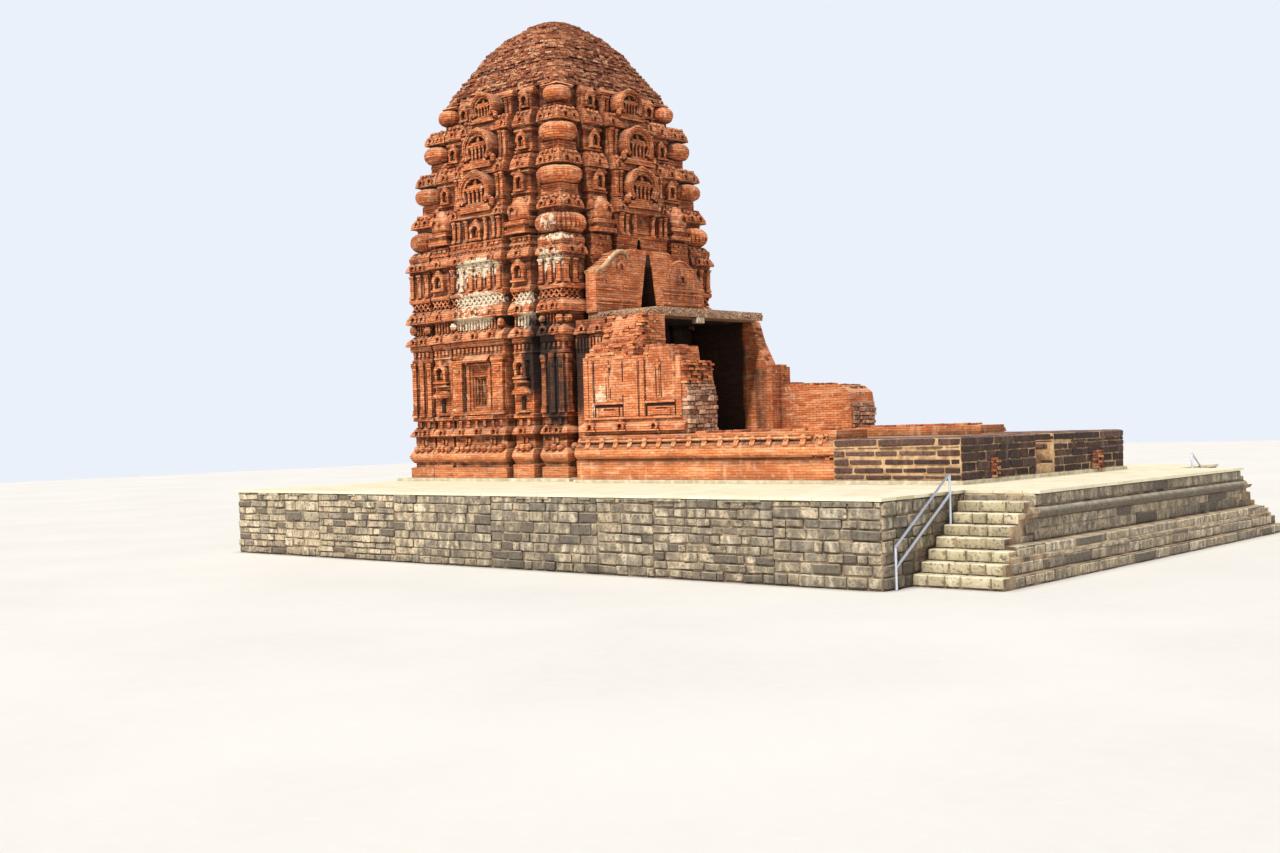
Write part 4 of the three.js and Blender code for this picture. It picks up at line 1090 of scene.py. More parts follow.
def row(bays_and_places, z, proud, size, scale=1.0):
    """Seats round the tower: a size at each place of each bay, at one height."""
    seats = []
    for side in SIDES:
        for bay, hand in ALL_BAYS:
            for place in bays_and_places.get(bay, ()):
                across = scale * (hand * MIDDLE_OF[bay] + place)
                if clear_of_porch(side, across, z):
                    seats.append((on_side(side, across, scale * FRONT_OF[bay] + proud, z),
                                  quarter(side), size))
    return seats


def every(pitch, *names, margin=0.06):
    return {bay: places_along(bay, pitch, margin) for bay in names or FRONT_OF}


def lay(name, copy, seats, finish, turn_jitter, size_jitter, roughness):
    """Sets copies on all seats as one piece of brick, with its zones, and hands it over."""
    piece = weigh(set_on(name, copy, seats, finish, turn_jitter, size_jitter, roughness))
    return settle(piece, "brick")


DOTS_LOW = {"centre": (-0.72, 0.0, 0.72), "side": (0.0,), "corner": (-0.2, 0.2)}
DOTS_HIGH = {"centre": (-0.95, 0.95), "side": (0.0,), "corner": (-0.22, 0.2)}
dots = row(DOTS_LOW, 3.04, 0.11, (0.25, 0.22, 0.24)) + row(DOTS_LOW, 5.79, 0.14, (0.28, 0.25, 0.26))
dots += row(DOTS_LOW, 6.45, 0.12, (0.29, 0.25, 0.28)) + row(DOTS_LOW, 8.03, 0.1, (0.26, 0.23, 0.24))
for z, reach in ((9.36, SECOND), (10.62, THIRD), (11.9, FOURTH)):
    dots += row(DOTS_HIGH, z, 0.05, (0.25, 0.24, 0.25), reach)
lay("eave_horseshoe_dots", HORSESHOE_DOT, dots, FIRED_BRICK, 0.05, 0.1, 0.02)

leaves = row(every(0.24), 2.56, 0.09, (0.23, 0.22, 0.2))
leaves += row(every(0.2), 6.74, 0.02, (0.1, 0.1, 0.08)) + row(every(0.2), 6.0, 0.03, (0.1, 0.1, 0.08))
leaves += row(every(0.16), 8.31, 0.0, (0.1, 0.1, 0.09))
for z, reach in ((9.58, SECOND), (10.88, THIRD), (12.17, FOURTH)):
    leaves += row(every(0.19), z, 0.0, (0.13, 0.12, 0.12), reach)
bosses = {"centre": (-1.0, 1.0), "corner": (-0.33, 0.33)}
leaves += row(bosses, 6.11, 0.04, (0.28, 0.28, 0.28))
lay("leaf_rows_and_bosses", LEAF, leaves, FIRED_BRICK, 0.2, 0.16, 0.02)

PAIRS = {"centre": (-0.62, -0.46, 0.46, 0.62), "side": (-0.08, 0.08), "corner": (-0.08, 0.08)}
blocks = row(PAIRS, 2.86, 0.01, (0.1, 0.07, 0.16)) + row(every(0.36), 3.38, -0.02, (0.12, 0.07, 0.18))
blocks += row(every(0.17), 5.51, 0.03, (0.085, 0.1, 0.12))
blocks += row(every(0.12), 6.24, -0.02, (0.06, 0.08, 0.27))
for z, reach in ((8.54, 1.0), (9.7, THIRD), (10.96, FOURTH)):
    blocks += row(every(0.22), z, -0.02, (0.12, 0.1, 0.09), reach)
lay("block_rows_and_dentils", BRICK_END, blocks, FIRED_BRICK, 0.04, 0.12, 0.012)

frieze = row(every(0.2, margin=0.02), 6.83, -0.01, (0.2, 0.2, 0.22))
lay("pierced_frieze", CROSS, frieze, FIRED_BRICK, 0.01, 0.03, 0.01)

# %% [markdown]
# ## Pilasters, slots and niches
# The walls are divided by flat pilasters with a narrow dark slot beside each. A slot is too deep
# and too thin for light to reach its back, so a nearly black strip stands for it.

# %% Pilasters and slots
SHADOWED = plain_masonry("brick_in_deep_shade", "33190f", "1c0f0b", 9.0, "33190f", 0.004, dust_and_highlight_share=0.0)
tall = row({"corner": (-0.34, 0.0, 0.34)}, 3.62, 0.01, 1.0)
tall += row({"centre": (-0.86, 0.86)}, 3.62, 0.03, (2.3, 1.0, 1.0))
lay("wall_pilasters", WALL_PILASTER, tall, FIRED_BRICK, 0.004, 0.015, 0.012)

short = row({"centre": (-0.98, -0.58, -0.19, 0.19, 0.58, 0.98), "corner": (-0.34, 0.0, 0.34)}, CORNICE_TOP,
            0.01, (1.15, 1.0, 1.05))
short += row({"centre": (-0.98, -0.76, -0.42, 0.42, 0.76, 0.98)}, 8.68, 0.02, (0.9, 1.1, 0.97),
             SECOND)
short += row({"centre": (-1.03, -0.85, 0.85, 1.03)}, 9.8, 0.0, (0.8, 1.1, 1.2), THIRD)
short += row({"centre": (-1.0, -0.8, 0.8, 1.0)}, 11.02, 0.0, (0.8, 1.1, 1.25), FOURTH)
short += row({"centre": (-1.0, -0.78, 0.78, 1.0), "side": (-0.26, 0.26)}, 12.3, -0.03, (0.8, 1.1, 0.8),
             FIFTH)
lay("storey_pilasters", SHORT_PILASTER, short, FIRED_BRICK, 0.01, 0.03, 0.012)

slots = row({"corner": (-0.17, 0.17), "centre": (-0.6, 0.6)}, 4.42, 0.008, (0.05, 0.02, 1.3))
slots += row(ON_SIDES, 3.92, 0.04, (0.13, 0.02, 0.42))
slots += row({"centre": (-0.78, -0.38, 0.0, 0.38, 0.78), "corner": (-0.17, 0.17)}, 7.5, 0.006,
             (0.045, 0.02, 0.42))
slots += row({"centre": (-0.87, -0.6, 0.6, 0.87)}, 9.0, 0.005, (0.06, 0.02, 0.45), SECOND)
slots += row({"centre": (-0.94, 0.94)}, 10.15, 0.0, (0.05, 0.02, 0.5), THIRD)
lay("deep_slots", BRICK_END, slots, SHADOWED, 0.0, 0.0, 0.0)

# %% Niches on the side bays
niches = row(ON_SIDES, 4.6, 0.07, (0.56, 0.55, 0.56)) + row(ON_SIDES, 7.34, 0.06, (0.58, 0.5, 0.55))
niches += row({"centre": (0.0,)}, 8.68, 0.06, (0.56, 0.5, 0.52), SECOND)
for z, reach, tall_by in ((9.93, THIRD, 0.5), (11.18, FOURTH, 0.46), (12.44, FIFTH, 0.4)):
    niches += row(ON_SIDES, z, 0.04, (0.42, 0.45, tall_by), reach)
lay("side_bay_niches", NICHE, niches, FIRED_BRICK, 0.02, 0.04, 0.02)


def build_bell(bm):
    """A shrine of its own, one unit wide: two tiers, and over them a bell with a crest."""
    put_boxes(bm, (0.5, (-0.34, 0.3), (-0.42, -0.28)), (0.42, (-0.28, 0.3), (-0.28, -0.14)),
              (0.5, (-0.36, 0.3), (-0.14, 0.0)))
    around, rows = 18, []
    for z, radius in ((0.0, 0.42), (0.08, 0.47), (0.26, 0.48), (0.44, 0.42), (0.6, 0.31), (0.72, 0.18),
                      (0.8, 0.1)):
        rows.append([bm.verts.new((radius * cos(a), radius * 0.8 * sin(a), z))
                     for a in (2 * pi * i / around for i in range(around))])
    for first, second in zip(rows, rows[1:]):
        for i in range(around):
            j = (i + 1) % around
            bm.faces.new((first[i], first[j], second[j], second[i]))
    bm.faces.new(rows[0][::-1])
    bm.faces.new(rows[-1])
    put_band(bm, arc(0.22, -20, 200, 8, (0, 0.3)), arc(0.12, -20, 200, 8, (0, 0.3)), -0.46, -0.1)


BELL = block("bell_shrine", build_bell)
bells = row(ON_SIDES, 9.06, 0.0, (0.8, 0.8, 0.84), SECOND)
lay("bell_shrines", BELL, bells, FIRED_BRICK, 0.02, 0.03, 0.03)

roofs = row(ON_SIDES, 4.18, 0.05, (0.66, 0.7, 0.8)) + row(ON_SIDES, 4.5, 0.04, (0.6, 0.6, 0.4))
roofs += row(ON_SIDES, 3.66, 0.02, (0.5, 0.5, 0.25)) + row(ON_SIDES, 5.12, 0.02, (0.5, 0.5, 0.4))
lay("side_bay_little_roofs", EAVE, roofs, FIRED_BRICK, 0.01, 0.03, 0.012)

# %% [markdown]
# ## Horseshoe windows
# In the middle of each upper storey sits a window in the shape of a horseshoe. A thick arch in two
# steps stands on a base, with small ears at its feet and a crest on top, and inside it a row of
# little pillars carries a lintel. One block is built, and it is copied at three sizes.

# %% The window as one block
def build_window(bm):
    """One unit wide: back plate, three bands of the arch, sill, pillars, lintel, ears and crest."""
    middle = (0, 0.52)
    put_plate(bm, [(-0.42, 0.0), (0.42, 0.0)] + arc(0.45, -30, 210, 14, middle), 0.16, 0.55)
    put_band(bm, arc(0.5, -38, 218, 16, middle), arc(0.4, -38, 218, 16, middle), -0.12, 0.5)
    put_band(bm, arc(0.41, -38, 218, 16, middle), arc(0.33, -38, 218, 16, (0, 0.51)), -0.05, 0.5)
    put_band(bm, arc(0.47, -30, 210, 16, middle), arc(0.44, -30, 210, 16, middle), -0.15, 0.4)
    put_boxes(bm, (0.52, (-0.14, 0.5), (0.0, 0.08)), (0.46, (-0.09, 0.5), (0.08, 0.17)),
              (0.3, (-0.04, 0.3), (0.17, 0.23)))
    for across in (-0.2, -0.07, 0.07, 0.2):
        put_boxes(bm, ((across - 0.028, across + 0.028), (-0.02, 0.2), (0.23, 0.56)),
                  ((across - 0.042, across + 0.042), (-0.05, 0.2), (0.5, 0.56)))
    put_boxes(bm, (0.31, (-0.05, 0.2), (0.56, 0.62)), (0.24, (-0.02, 0.2), (0.62, 0.68)),
              (0.05, (0.0, 0.2), (0.68, 0.84), 0.6))
    for hand in (-1, 1):
        put_lump(bm, (hand * 0.54, -0.02, 0.2), (0.09, 0.12, 0.12))
        put_lump(bm, (hand * 0.47, -0.04, 0.3), (0.06, 0.1, 0.07))
    put_box(bm, 0.09, (-0.13, 0.3), (1.0, 1.06), 0.5)


HORSESHOE_WINDOW = block("horseshoe_window", build_window, shade=(-0.02, 0.15))
windows = []
for low, high, width, front in ((9.5, 10.72, 1.3, 3.44), (10.78, 11.96, 1.2, 3.3),
                                (12.14, 13.06, 0.95, 3.03)):
    for side in SIDES:
        windows.append((on_side(side, 0.0, front, low), quarter(side),
                        (width, 0.75, (high - low) / 1.05)))
lay("horseshoe_windows", HORSESHOE_WINDOW, windows, FIRED_BRICK, 0.01, 0.02, 0.03)

# %% [markdown]
# ## The rubble dome
# The finial and the top storeys are lost, and the core is patched to a dome of coursed rubble. In
# plan it is square below and round at the top, which a superellipse gives: its exponent falls as
# the dome rises. It was patched in lifts, and each lift starts on a narrow ledge. Over a core of
# bedding, bricks are laid ring by ring, with gaps and loose ends.

# %% Shape of the dome
DOME_LOW, DOME_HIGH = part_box("tower_crown")
DOME_STEPS = 96
DOME_SHAPE = [(13.06, 2.47, 3.36), (13.35, 2.415, 3.19), (13.375, 2.355, 3.125), (13.72, 2.205, 2.85),
              (13.745, 2.145, 2.78), (14.10, 2.005, 2.52), (14.125, 1.945, 2.45), (14.55, 1.775, 2.14),
              (14.575, 1.71, 2.065), (14.98, 1.385, 1.55), (15.005, 1.315, 1.47), (15.30, 0.92, 0.985),
              (15.50, 0.52, 0.535), (15.58, 0.16, 0.165)]


def dome_plan(z, steps, inset=0.0):
    """The dome's outline at a height, between the rows of its table."""
    for (low, face, diagonal), (high, next_face, next_diagonal) in zip(DOME_SHAPE, DOME_SHAPE[1:]):
        if z <= high:
            break
    t = min(1.0, (z - low) / (high - low))
    face, diagonal = face + (next_face - face) * t, diagonal + (next_diagonal - diagonal) * t
    power = log(2) / log(face * sqrt(2) / diagonal)
    plan = []
    for i in range(steps):
        turn = 2 * pi * i / steps
        c, s = cos(turn), sin(turn)
        radius = (face - inset) / (abs(c) ** power + abs(s) ** power) ** (1 / power)
        plan.append((radius * c, radius * s))
    return plan


def rings_of(table, rise, run):
    """Heights up the dome, closer together where it flattens out."""
    z, heights = table[0][0], []
    while z < table[-1][0] - 0.02:
        heights.append(z)
        for (low, wide, _), (high, narrow, _) in zip(table, table[1:]):
            if z < high - 1e-6:
                slope = (wide - narrow) / (high - low)
                break
        z += min(rise, run / slope)
    return heights


def dome_core():
    levels = rings_of(DOME_SHAPE, 0.13, 0.16) + [DOME_HIGH.z - 0.02]
    verts, steps = [], 72
    for z in levels:
        verts += [worn_point(x, y, z, 0.03) if z > levels[0] else (x, y, z)
                  for x, y in dome_plan(z, steps, 0.06)]
    faces = skin(len(levels), steps)
    faces += [tuple(range(steps))[::-1], tuple(range(len(verts) - steps, len(verts)))]
    return cut_away(weld(mesh_object("dome_core", verts, faces, CORE_BRICK)),
                    (-1.0, -1.0, DOME_LOW.z - 0.1), (1.0, 1.0, 14.1))


settle(dome_core(), "weathered_brick", "tower_crown")

# %% Bricks laid along a line
def laid_along(plan, z, rng, lengths=(0.09, 0.24), depth=0.15, height=0.056, proud=(-0.02, 0.045),
               missing=0.07, loose=0.06, around=False):
    """Seats for one course of rough bricks along an outline, which may go all around."""
    seats, points = [], [Vector((*p, z)) for p in plan]
    if around:
        points.append(points[0])
    need, reach = rng.uniform(*lengths), 0.0
    start = points[0]
    for here, there in zip(points, points[1:]):
        span = (there - here).length
        while reach + span >= need and span > 1e-9:
            end = here.lerp(there, (need - reach) / span)
            along = end - start
            if rng.random() > missing and along.length > 0.03:
                side = Vector((along.y, -along.x, 0.0)).normalized()
                middle = (start + end) / 2 + side * (rng.uniform(*proud) - depth / 2)
                middle.z += height / 2
                turn = atan2(along.y, along.x) + rng.uniform(-loose, loose)
                seats.append((middle, (rng.uniform(-loose, loose) / 2, rng.uniform(-loose, loose) / 2, turn),
                              (along.length * 0.96, depth, height)))
            start = end
            span -= need - reach
            here, reach, need = end, 0.0, rng.uniform(*lengths)
        reach += span
    return seats


rng = random.Random(11)
bricks = []
for z in rings_of(DOME_SHAPE, 0.056, 0.085)[:-1]:
    ledge = rng.uniform(-0.035, 0.012)
    bricks += laid_along(dome_plan(z, DOME_STEPS), z, rng, loose=0.07, missing=0.09, lengths=(0.07, 0.26),
                         height=rng.uniform(0.042, 0.056), proud=(ledge - 0.035, ledge + 0.012),
                         around=True)
    if rng.random() < 0.35:
        bricks += laid_along(dome_plan(z, DOME_STEPS), z + 0.03, rng, missing=0.85, loose=0.3, height=0.05,
                             proud=(-0.04, 0.02), around=True)
settle(weigh(set_on("dome_bricks", BRICK_END, bricks, DOME_BRICK, 0.03, 0.06, 0.02)), "weathered_brick")
print(len(bricks), "bricks on the dome")

# %% [markdown]
# ## Plain walls from the frame
# Walls without a moulded plan are copied from the frame: their loose triangles are joined, sliced
# by level and upright planes into a grid, and every point is then moved a little, as on old
# brickwork. The frame's own pieces stay as they are, hidden behind their copies.

# %% Dress a copy of a frame piece
def dressed(node, name, finish, pitch=0.3, wear=WEAR, shade_bands=(), slices=()):
    """A worn copy of a frame piece, sliced so that it can be uneven, and in painted shade between some
    levels.

    Slices are more places in X where it is cut, so that shade can start there."""
    bm = bmesh.new()
    bm.from_mesh(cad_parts[node].data)
    bmesh.ops.remove_doubles(bm, verts=bm.verts, dist=0.0004)
    bmesh.ops.dissolve_limit(bm, angle_limit=0.01, verts=bm.verts, edges=bm.edges)
    low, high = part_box(node)
    for axis in range(3):
        parts = int((high[axis] - low[axis]) / pitch) + 1
        for step in range(1, parts):
            slice_across(bm, axis, low[axis] + step * (high[axis] - low[axis]) / parts)
    for place in slices:
        slice_across(bm, 0, place)
    for vert in bm.verts:
        x, y, z = worn_point(*vert.co, wear)
        vert.co = (x, y, vert.co.z if min(abs(vert.co.z - low.z), abs(vert.co.z - high.z)) < 0.001 else z)
    bmesh.ops.triangulate(bm, faces=bm.faces)
    piece = mesh_object(name, [], [], finish)
    bm.to_mesh(piece.data)
    bm.free()
    return weigh(piece, [max([share for foot, top, share in shade_bands if foot < v.co.z < top], default=0.0)
                         for v in piece.data.vertices])


def finish_frame(finish, *nodes):
    """Gives frame pieces whose shape is right a better finish."""
    for node in nodes:
        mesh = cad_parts[node].data
        mesh.materials.clear()
        mesh.materials.append(finish)


finish_frame(DOOR_STONE, "door_sill", "door_jamb_south", "door_jamb_north", "door_lintel")
for node in ("porch_wall_south", "porch_wall_north", "hall_wall_south", "hall_wall_north",
             "hall_low_wall_north"):
    settle(dressed(node, node + "_brickwork", HALL_BRICK), "brick", node)
settle(dressed("slit_gable_wall", "slit_gable_wall_brickwork", HALL_BRICK, slices=(3.6, 3.63)), "brick",
       "slit_gable_wall")
# Painted shade below and above the fat roll of the hall plinth: low, high and strength.
PLINTH_SHADE_BANDS = ((2.24, 2.33, 0.75), (2.66, 2.93, 0.9))
for node in ("hall_plinth_south", "hall_plinth_north"):
    settle(dressed(node, node + "_brickwork", PLINTH_BRICK, shade_bands=PLINTH_SHADE_BANDS), "brick", node)
settle(dressed("hall_floor", "hall_floor_of_earth", TRODDEN, 0.6, 0.006), "pale_stone", "hall_floor")
settle(dressed("footing_course", "footing_of_pale_stone", FOOTING_STONE, 0.4, 0.008), "pale_stone",
       "footing_course")

# %% [markdown]
# ## Blind windows
# The middle bay of each closed side holds a window that was never open. Square frames step back
# one behind the other to a panel with mullions, and a little sloping hood keeps the rain off.

# %% The blind window as one block
def frame_ring(bm, outer, inner, front, back):
    """A rectangular frame between two rectangles (left, right, low, high)."""
    for x, z in (((outer[0], inner[0]), outer[2:]), ((inner[1], outer[1]), outer[2:]),
                 (inner[:2], (outer[2], inner[2])), (inner[:2], (inner[3], outer[3]))):
        put_box(bm, x, (front, back), z)


def build_blind_window(bm):
    """As on the south side, with its front at the face of the centre bay and its foot at zero."""
    frames = [(-0.5, 0.5, 0.0, 1.42), (-0.4, 0.4, 0.06, 1.34), (-0.31, 0.31, 0.12, 1.27),
              (-0.24, 0.24, 0.18, 1.02), (-0.17, 0.17, 0.22, 0.96)]
    for step, (outer, inner) in enumerate(zip(frames, frames[1:])):
        frame_ring(bm, outer, inner, -0.035 + 0.045 * step, 0.2)
    put_box(bm, 0.18, (0.15, 0.2), (0.2, 1.0))
    for across in (-0.06, 0.06):
        put_box(bm, (across - 0.018, across + 0.018), (0.11, 0.2), (0.22, 0.96))
    for height in (0.4, 0.6, 0.78):
        put_box(bm, 0.17, (0.12, 0.2), (height, height + 0.03))
    put_boxes(bm, (0.3, (0.02, 0.2), (1.04, 1.08)), (0.56, (-0.06, 0.02), (-0.06, 0.02)))


BLIND_WINDOW = block("blind_window", build_blind_window, shade=(-0.03, 0.15))


def build_hood(bm):
    bm_rows = []
    for z, out in ((0.0, 0.02), (0.0, 0.2), (0.03, 0.21), (0.08, 0.14), (0.14, 0.06), (0.17, 0.0)):
        bm_rows.append([bm.verts.new((x * (0.5 + 0.1 * out), -out, z)) for x in (-1, 1)])
    for (a, b), (c, d) in zip(bm_rows, bm_rows[1:]):
        bm.faces.new((a, b, d, c))
    bm.faces.new([pair[0] for pair in bm_rows][::-1])
    bm.faces.new([pair[1] for pair in bm_rows])
    bm.faces.new((bm_rows[0][1], bm_rows[0][0], bm_rows[-1][0], bm_rows[-1][1]))


HOOD = block("window_hood", build_hood)
seats = [(on_side(side, 0.0, CENTRE, NICHE_LOW.z), quarter(side), 1.0) for side in CLOSED_SIDES]
settle(weigh(set_on("blind_windows", BLIND_WINDOW, seats, FIRED_BRICK, 0.0, 0.0, 0.008)), "brick",
       "blind_window_south", "blind_window_north", "blind_window_west")
seats = [(on_side(side, 0.0, CENTRE, 5.16), quarter(side), (1.02, 1.0, 1.3)) for side in CLOSED_SIDES]
lay("window_hoods", HOOD, seats, FIRED_BRICK, 0.0, 0.0, 0.008)

# %% [markdown]
# ## Broken edges of the walls
# Where a wall broke off, its bricks stick out in rough courses, one behind the other. A broken edge
# is a line in a cross-section of the wall. Along it, at each course, one row of bricks is laid
# through the whole thickness of the wall.

# %% Rows through a broken edge
ROW_PITCH = 0.066


def broken_edge(outline, start, end, rng, hand=0, depth=0.2, **rough):
    """Rows of bricks along a broken outline of (outward, z), from one face of the wall to the other.

    Outward is east, and the rows run north. With a hand they run along X instead, and outward is
    north for 1 and south for -1."""
    seats = []
    for (a, low), (b, high) in zip(outline, outline[1:]):
        length = hypot(b - a, high - low)
        out, up = (high - low) / length, (a - b) / length
        steps = max(1, round(length / ROW_PITCH))
        for step in range(steps):
            t = (step + 0.5) / steps
            across = a + (b - a) * t + (rng.uniform(-0.03, 0.05) - 0.05) * out
            z = round((low + (high - low) * t - 0.04 * up) / COURSE) * COURSE
            if not hand:
                plan = [(across, start), (across, end)]
            else:
                plan = [(start, hand * across), (end, hand * across)][::-hand]
            seats += laid_along(plan, z, rng, depth=depth, **rough)
    return seats


def edge_rows(rng):
    """The broken edges of the hall and the porch that are still the colour of brick."""
    rows = broken_edge([(8.04, 4.78), (7.64, 4.84), (7.6, 5.2), (6.95, 5.22), (6.9, 4.96), (6.3, 4.98)],
                       -3.94, -2.76, rng)
    rows += broken_edge([(6.32, 4.98), (6.3, 5.38)], -3.8, -3.46, rng)
    rows += broken_edge([(8.16, 4.18), (8.1, 4.4), (8.08, 4.78)], -3.97, -2.74, rng, depth=0.3,
                        proud=(-0.02, 0.1))
    layered = dict(depth=0.24, lengths=(0.12, 0.34), proud=(-0.05, 0.07), loose=0.08)
    rows += broken_edge([(3.96, 4.97), (3.88, 5.03), (3.84, 5.14), (3.7, 5.16), (3.68, 5.27), (3.56, 5.29),
                         (3.54, 5.38), (3.46, 5.4)], 4.62, 6.3, rng, -1, **layered)
    rows += broken_edge([(3.46, 5.36), (3.16, 5.52), (3.03, 5.86), (2.91, 6.15)], 4.62, 6.1, rng, -1,
                        **layered)
    rows += broken_edge([(6.12, 4.98), (6.12, 6.14)], -3.2, -2.32, rng)
    rows += broken_edge([(6.27, 2.97), (6.27, 4.82), (5.42, 4.84)], 2.76, 3.14, rng, depth=0.16)
    rows += broken_edge([(8.3, 4.18), (6.9, 4.27), (6.28, 4.3)], 2.76, 3.94, rng)
    rows += broken_edge([(6.08, 4.86), (5.72, 5.5), (5.52, 6.14)], 2.32, 2.74, rng)
    rows += broken_edge([(4.85, 4.97), (4.85, 6.14)], 2.8, 3.3, rng)
    return rows


rng = random.Random(23)
rows = edge_rows(rng)
for y0, y1 in ((-4.0, -2.78), (2.78, 4.0)):
    for z, missing in ((2.9, 0.35), (2.95, 0.62)):
        for x in (8.4, 8.75, 9.1, 9.5, 9.9, 10.3, 10.8, 11.2, 11.7, 12.2):
            rows += laid_along([(x, y0), (x, y1)], z, rng, missing=missing, depth=0.34)
for hand in (-1, 1):
    for course in range(10):
        ends = [(12.04 + 0.12 * rng.random(), hand * 4.1), (12.66, hand * 4.1)][::-hand]
        rows += laid_along(ends, 2.26 + 0.062 * course, rng, missing=0.08, depth=0.3,
                           proud=(-0.03, 0.07), lengths=(0.1, 0.28))
lay("broken_wall_edges", BRICK_END, rows, RUBBLE_BRICK, 0.04, 0.1, 0.02)
print(len(rows), "bricks on broken edges")

# %% A loose block and a corbel
corbel = [((6.12, -2.98, 5.12), 0.0, (0.42, 0.5, 0.3)), ((5.84, -0.56, 6.06), 0.0, (0.2, 0.34, 0.16))]
settle(set_on("loose_block_and_corbel", DRESSED_STONE, corbel, TERRACE_STONE, 0.03, 0.0, 0.03), "grey_stone")

# %% [markdown]
# ## Tubes and rolls along a path
# Handrails, the thin rolls along the hall plinth and the curved mouldings of the gable are all a
# circle swept along a line. One tree does it: the path's points become a curve, and a circle
# follows it.

# %% The sweep tree
def sweep_tree():
    node, given, result = new_tree("round_along_a_path", Path="Geometry", Radius="Float", Around="Int",
                                   Roughness="Float", Finish="Material")
    line = node("GeometryNodeMeshToCurve", {"Mesh": given["Path"]})
    circle = node("GeometryNodeCurvePrimitiveCircle",
                  {"Resolution": given["Around"], "Radius": given["Radius"]})
    tube = node("GeometryNodeCurveToMesh", {"Curve": line, "Profile Curve": circle, "Fill Caps": True})
    return closed(node, given, result, tube, given["Roughness"])


SWEEP = sweep_tree()


def swept(name, paths, radius, finish, around=16, roughness=0.0):
    """Round bars along several paths of points."""
    verts, edges = [], []
    for path in paths:
        edges += [(len(verts) + i, len(verts) + i + 1) for i in range(len(path) - 1)]
        verts += path
    host = mesh_object(name, [], [])
    host.data.from_pydata(verts, edges, [])
    grown(host, SWEEP, Radius=radius, Around=around, Roughness=roughness, Finish=finish)
    return weld(host)

# %% [markdown]
# ## The gable over the porch
# A thin wall with the tall slit closes the tower to the east. Its top broke off in curves, and the
# break shows pale lime and brick ends. Left of the slit a scroll curls down with a medallion in it,
# and right of the slit there is the ring of a horseshoe arch. A thin string course runs below both.

# %% Top of the gable
GABLE_FACE = 3.75
GABLE_TOP = [(-2.45, 7.54), (-2.01, 7.8), (-1.66, 8.1), (-1.32, 8.21), (-1.08, 8.02), (-0.98, 8.24),
             (0.7, 8.24), (0.9, 7.96), (1.3, 8.06), (1.9, 7.8), (2.3, 7.25)]
rng = random.Random(31)
rows = []
for (a, low), (b, high) in zip(GABLE_TOP, GABLE_TOP[1:]):
    steps = max(1, round(hypot(b - a, high - low) / 0.12))
    for step in range(steps):
        t = (step + 0.5) / steps
        y = a + (b - a) * t
        if not -0.36 < y < 0.06:
            rows.append(((rng.uniform(3.5, 3.58), y, low + (high - low) * t - 0.03),
                         (atan2(high - low, b - a) * 0.6, 0.0, rng.uniform(-0.1, 0.1)),
                         (0.36, 0.15, 0.07)))
lay("gable_broken_top", BRICK_END, rows, RUBBLE_BRICK, 0.04, 0.1, 0.02)

# %% Scroll, ring and string course
SCROLL = [(-2.46, 7.5), (-2.24, 7.6), (-2.02, 7.74), (-1.84, 7.92), (-1.66, 8.05), (-1.5, 8.13),
          (-1.33, 8.15), (-1.18, 8.09), (-1.12, 7.96)]
SCROLL_INNER = [(-2.42, 7.32), (-2.16, 7.42), (-1.92, 7.56), (-1.74, 7.74), (-1.6, 7.9), (-1.45, 7.98),
                (-1.32, 7.99), (-1.24, 7.92)]
scroll = [[(GABLE_FACE, y, z) for y, z in SCROLL]]
settle(weigh(swept("gable_scroll", scroll, 0.06, CREAM_MORTAR, 10, 0.05)), "brick")
curls = [[(GABLE_FACE - 0.01, y, z) for y, z in SCROLL_INNER],
         [(GABLE_FACE - 0.02, y, z) for y, z in arc(0.6, -5, 175, 20, (1.27, 7.42))]]
settle(weigh(swept("gable_scroll_and_ring", curls, 0.034, HALL_BRICK, 8, 0.04)), "brick")
medals = [((GABLE_FACE - 0.05, y, z), quarter(EAST), size)
          for y, z, size in ((-1.42, 7.58, 0.3), (1.27, 7.34, 0.34), (-2.05, 7.18, 0.2), (1.85, 6.9, 0.22))]
lay("gable_medallions", HORSESHOE_DOT, medals, HALL_BRICK, 0.0, 0.0, 0.02)
strings = []
for z, high in ((7.12, 0.06), (7.02, 0.04), (6.72, 0.07), (6.62, 0.04)):
    for ends in ((-2.4, -0.66), (0.4, 2.25)):
        strings += laid_along([(GABLE_FACE, y) for y in ends], z, rng, (0.2, 0.4), height=high,
                              proud=(0.03, 0.04), missing=0.05, loose=0.01)
lay("gable_string_courses", BRICK_END, strings, HALL_BRICK, 0.0, 0.02, 0.01)

# %% [markdown]
# ## Dressing of the hall
# The outer faces of the hall carry shallow pilasters with dark slots, two low niches, and a plinth
# with a fat roll. Straps with round heads hang over the roll every half metre.

# %% Panels of the hall walls
HALL_FACE = -3.95


def strips(*table):
    """Flat strips on the south wall of the hall: low, high, how far they stand out, and spans in X."""
    return [(((x0 + x1) / 2, HALL_FACE - proud, (low + high) / 2), 0.0, (x1 - x0, 0.06, high - low))
            for low, high, proud, *spans in table for x0, x1 in spans]


pale = strips((3.42, 4.93, 0.0, (4.62, 4.79), (4.81, 4.95), (6.04, 6.54), (6.6, 6.76), (7.82, 8.0)),
              (3.36, 3.43, 0.02, (4.6, 8.02)), (3.76, 3.83, 0.02, (4.96, 6.03), (6.77, 7.8)),
              (3.46, 3.6, -0.005, (5.14, 5.86), (6.98, 7.62)),
              (4.72, 4.8, 0.02, (5.36, 5.62), (7.12, 7.34)),
              (4.62, 4.9, 0.015, (5.44, 5.54), (7.18, 7.28)),
              (3.95, 4.7, -0.005, (5.46, 5.52), (7.2, 7.26)))
lay("hall_wall_pilasters", BRICK_END, pale, HALL_BRICK, 0.002, 0.01, 0.01)

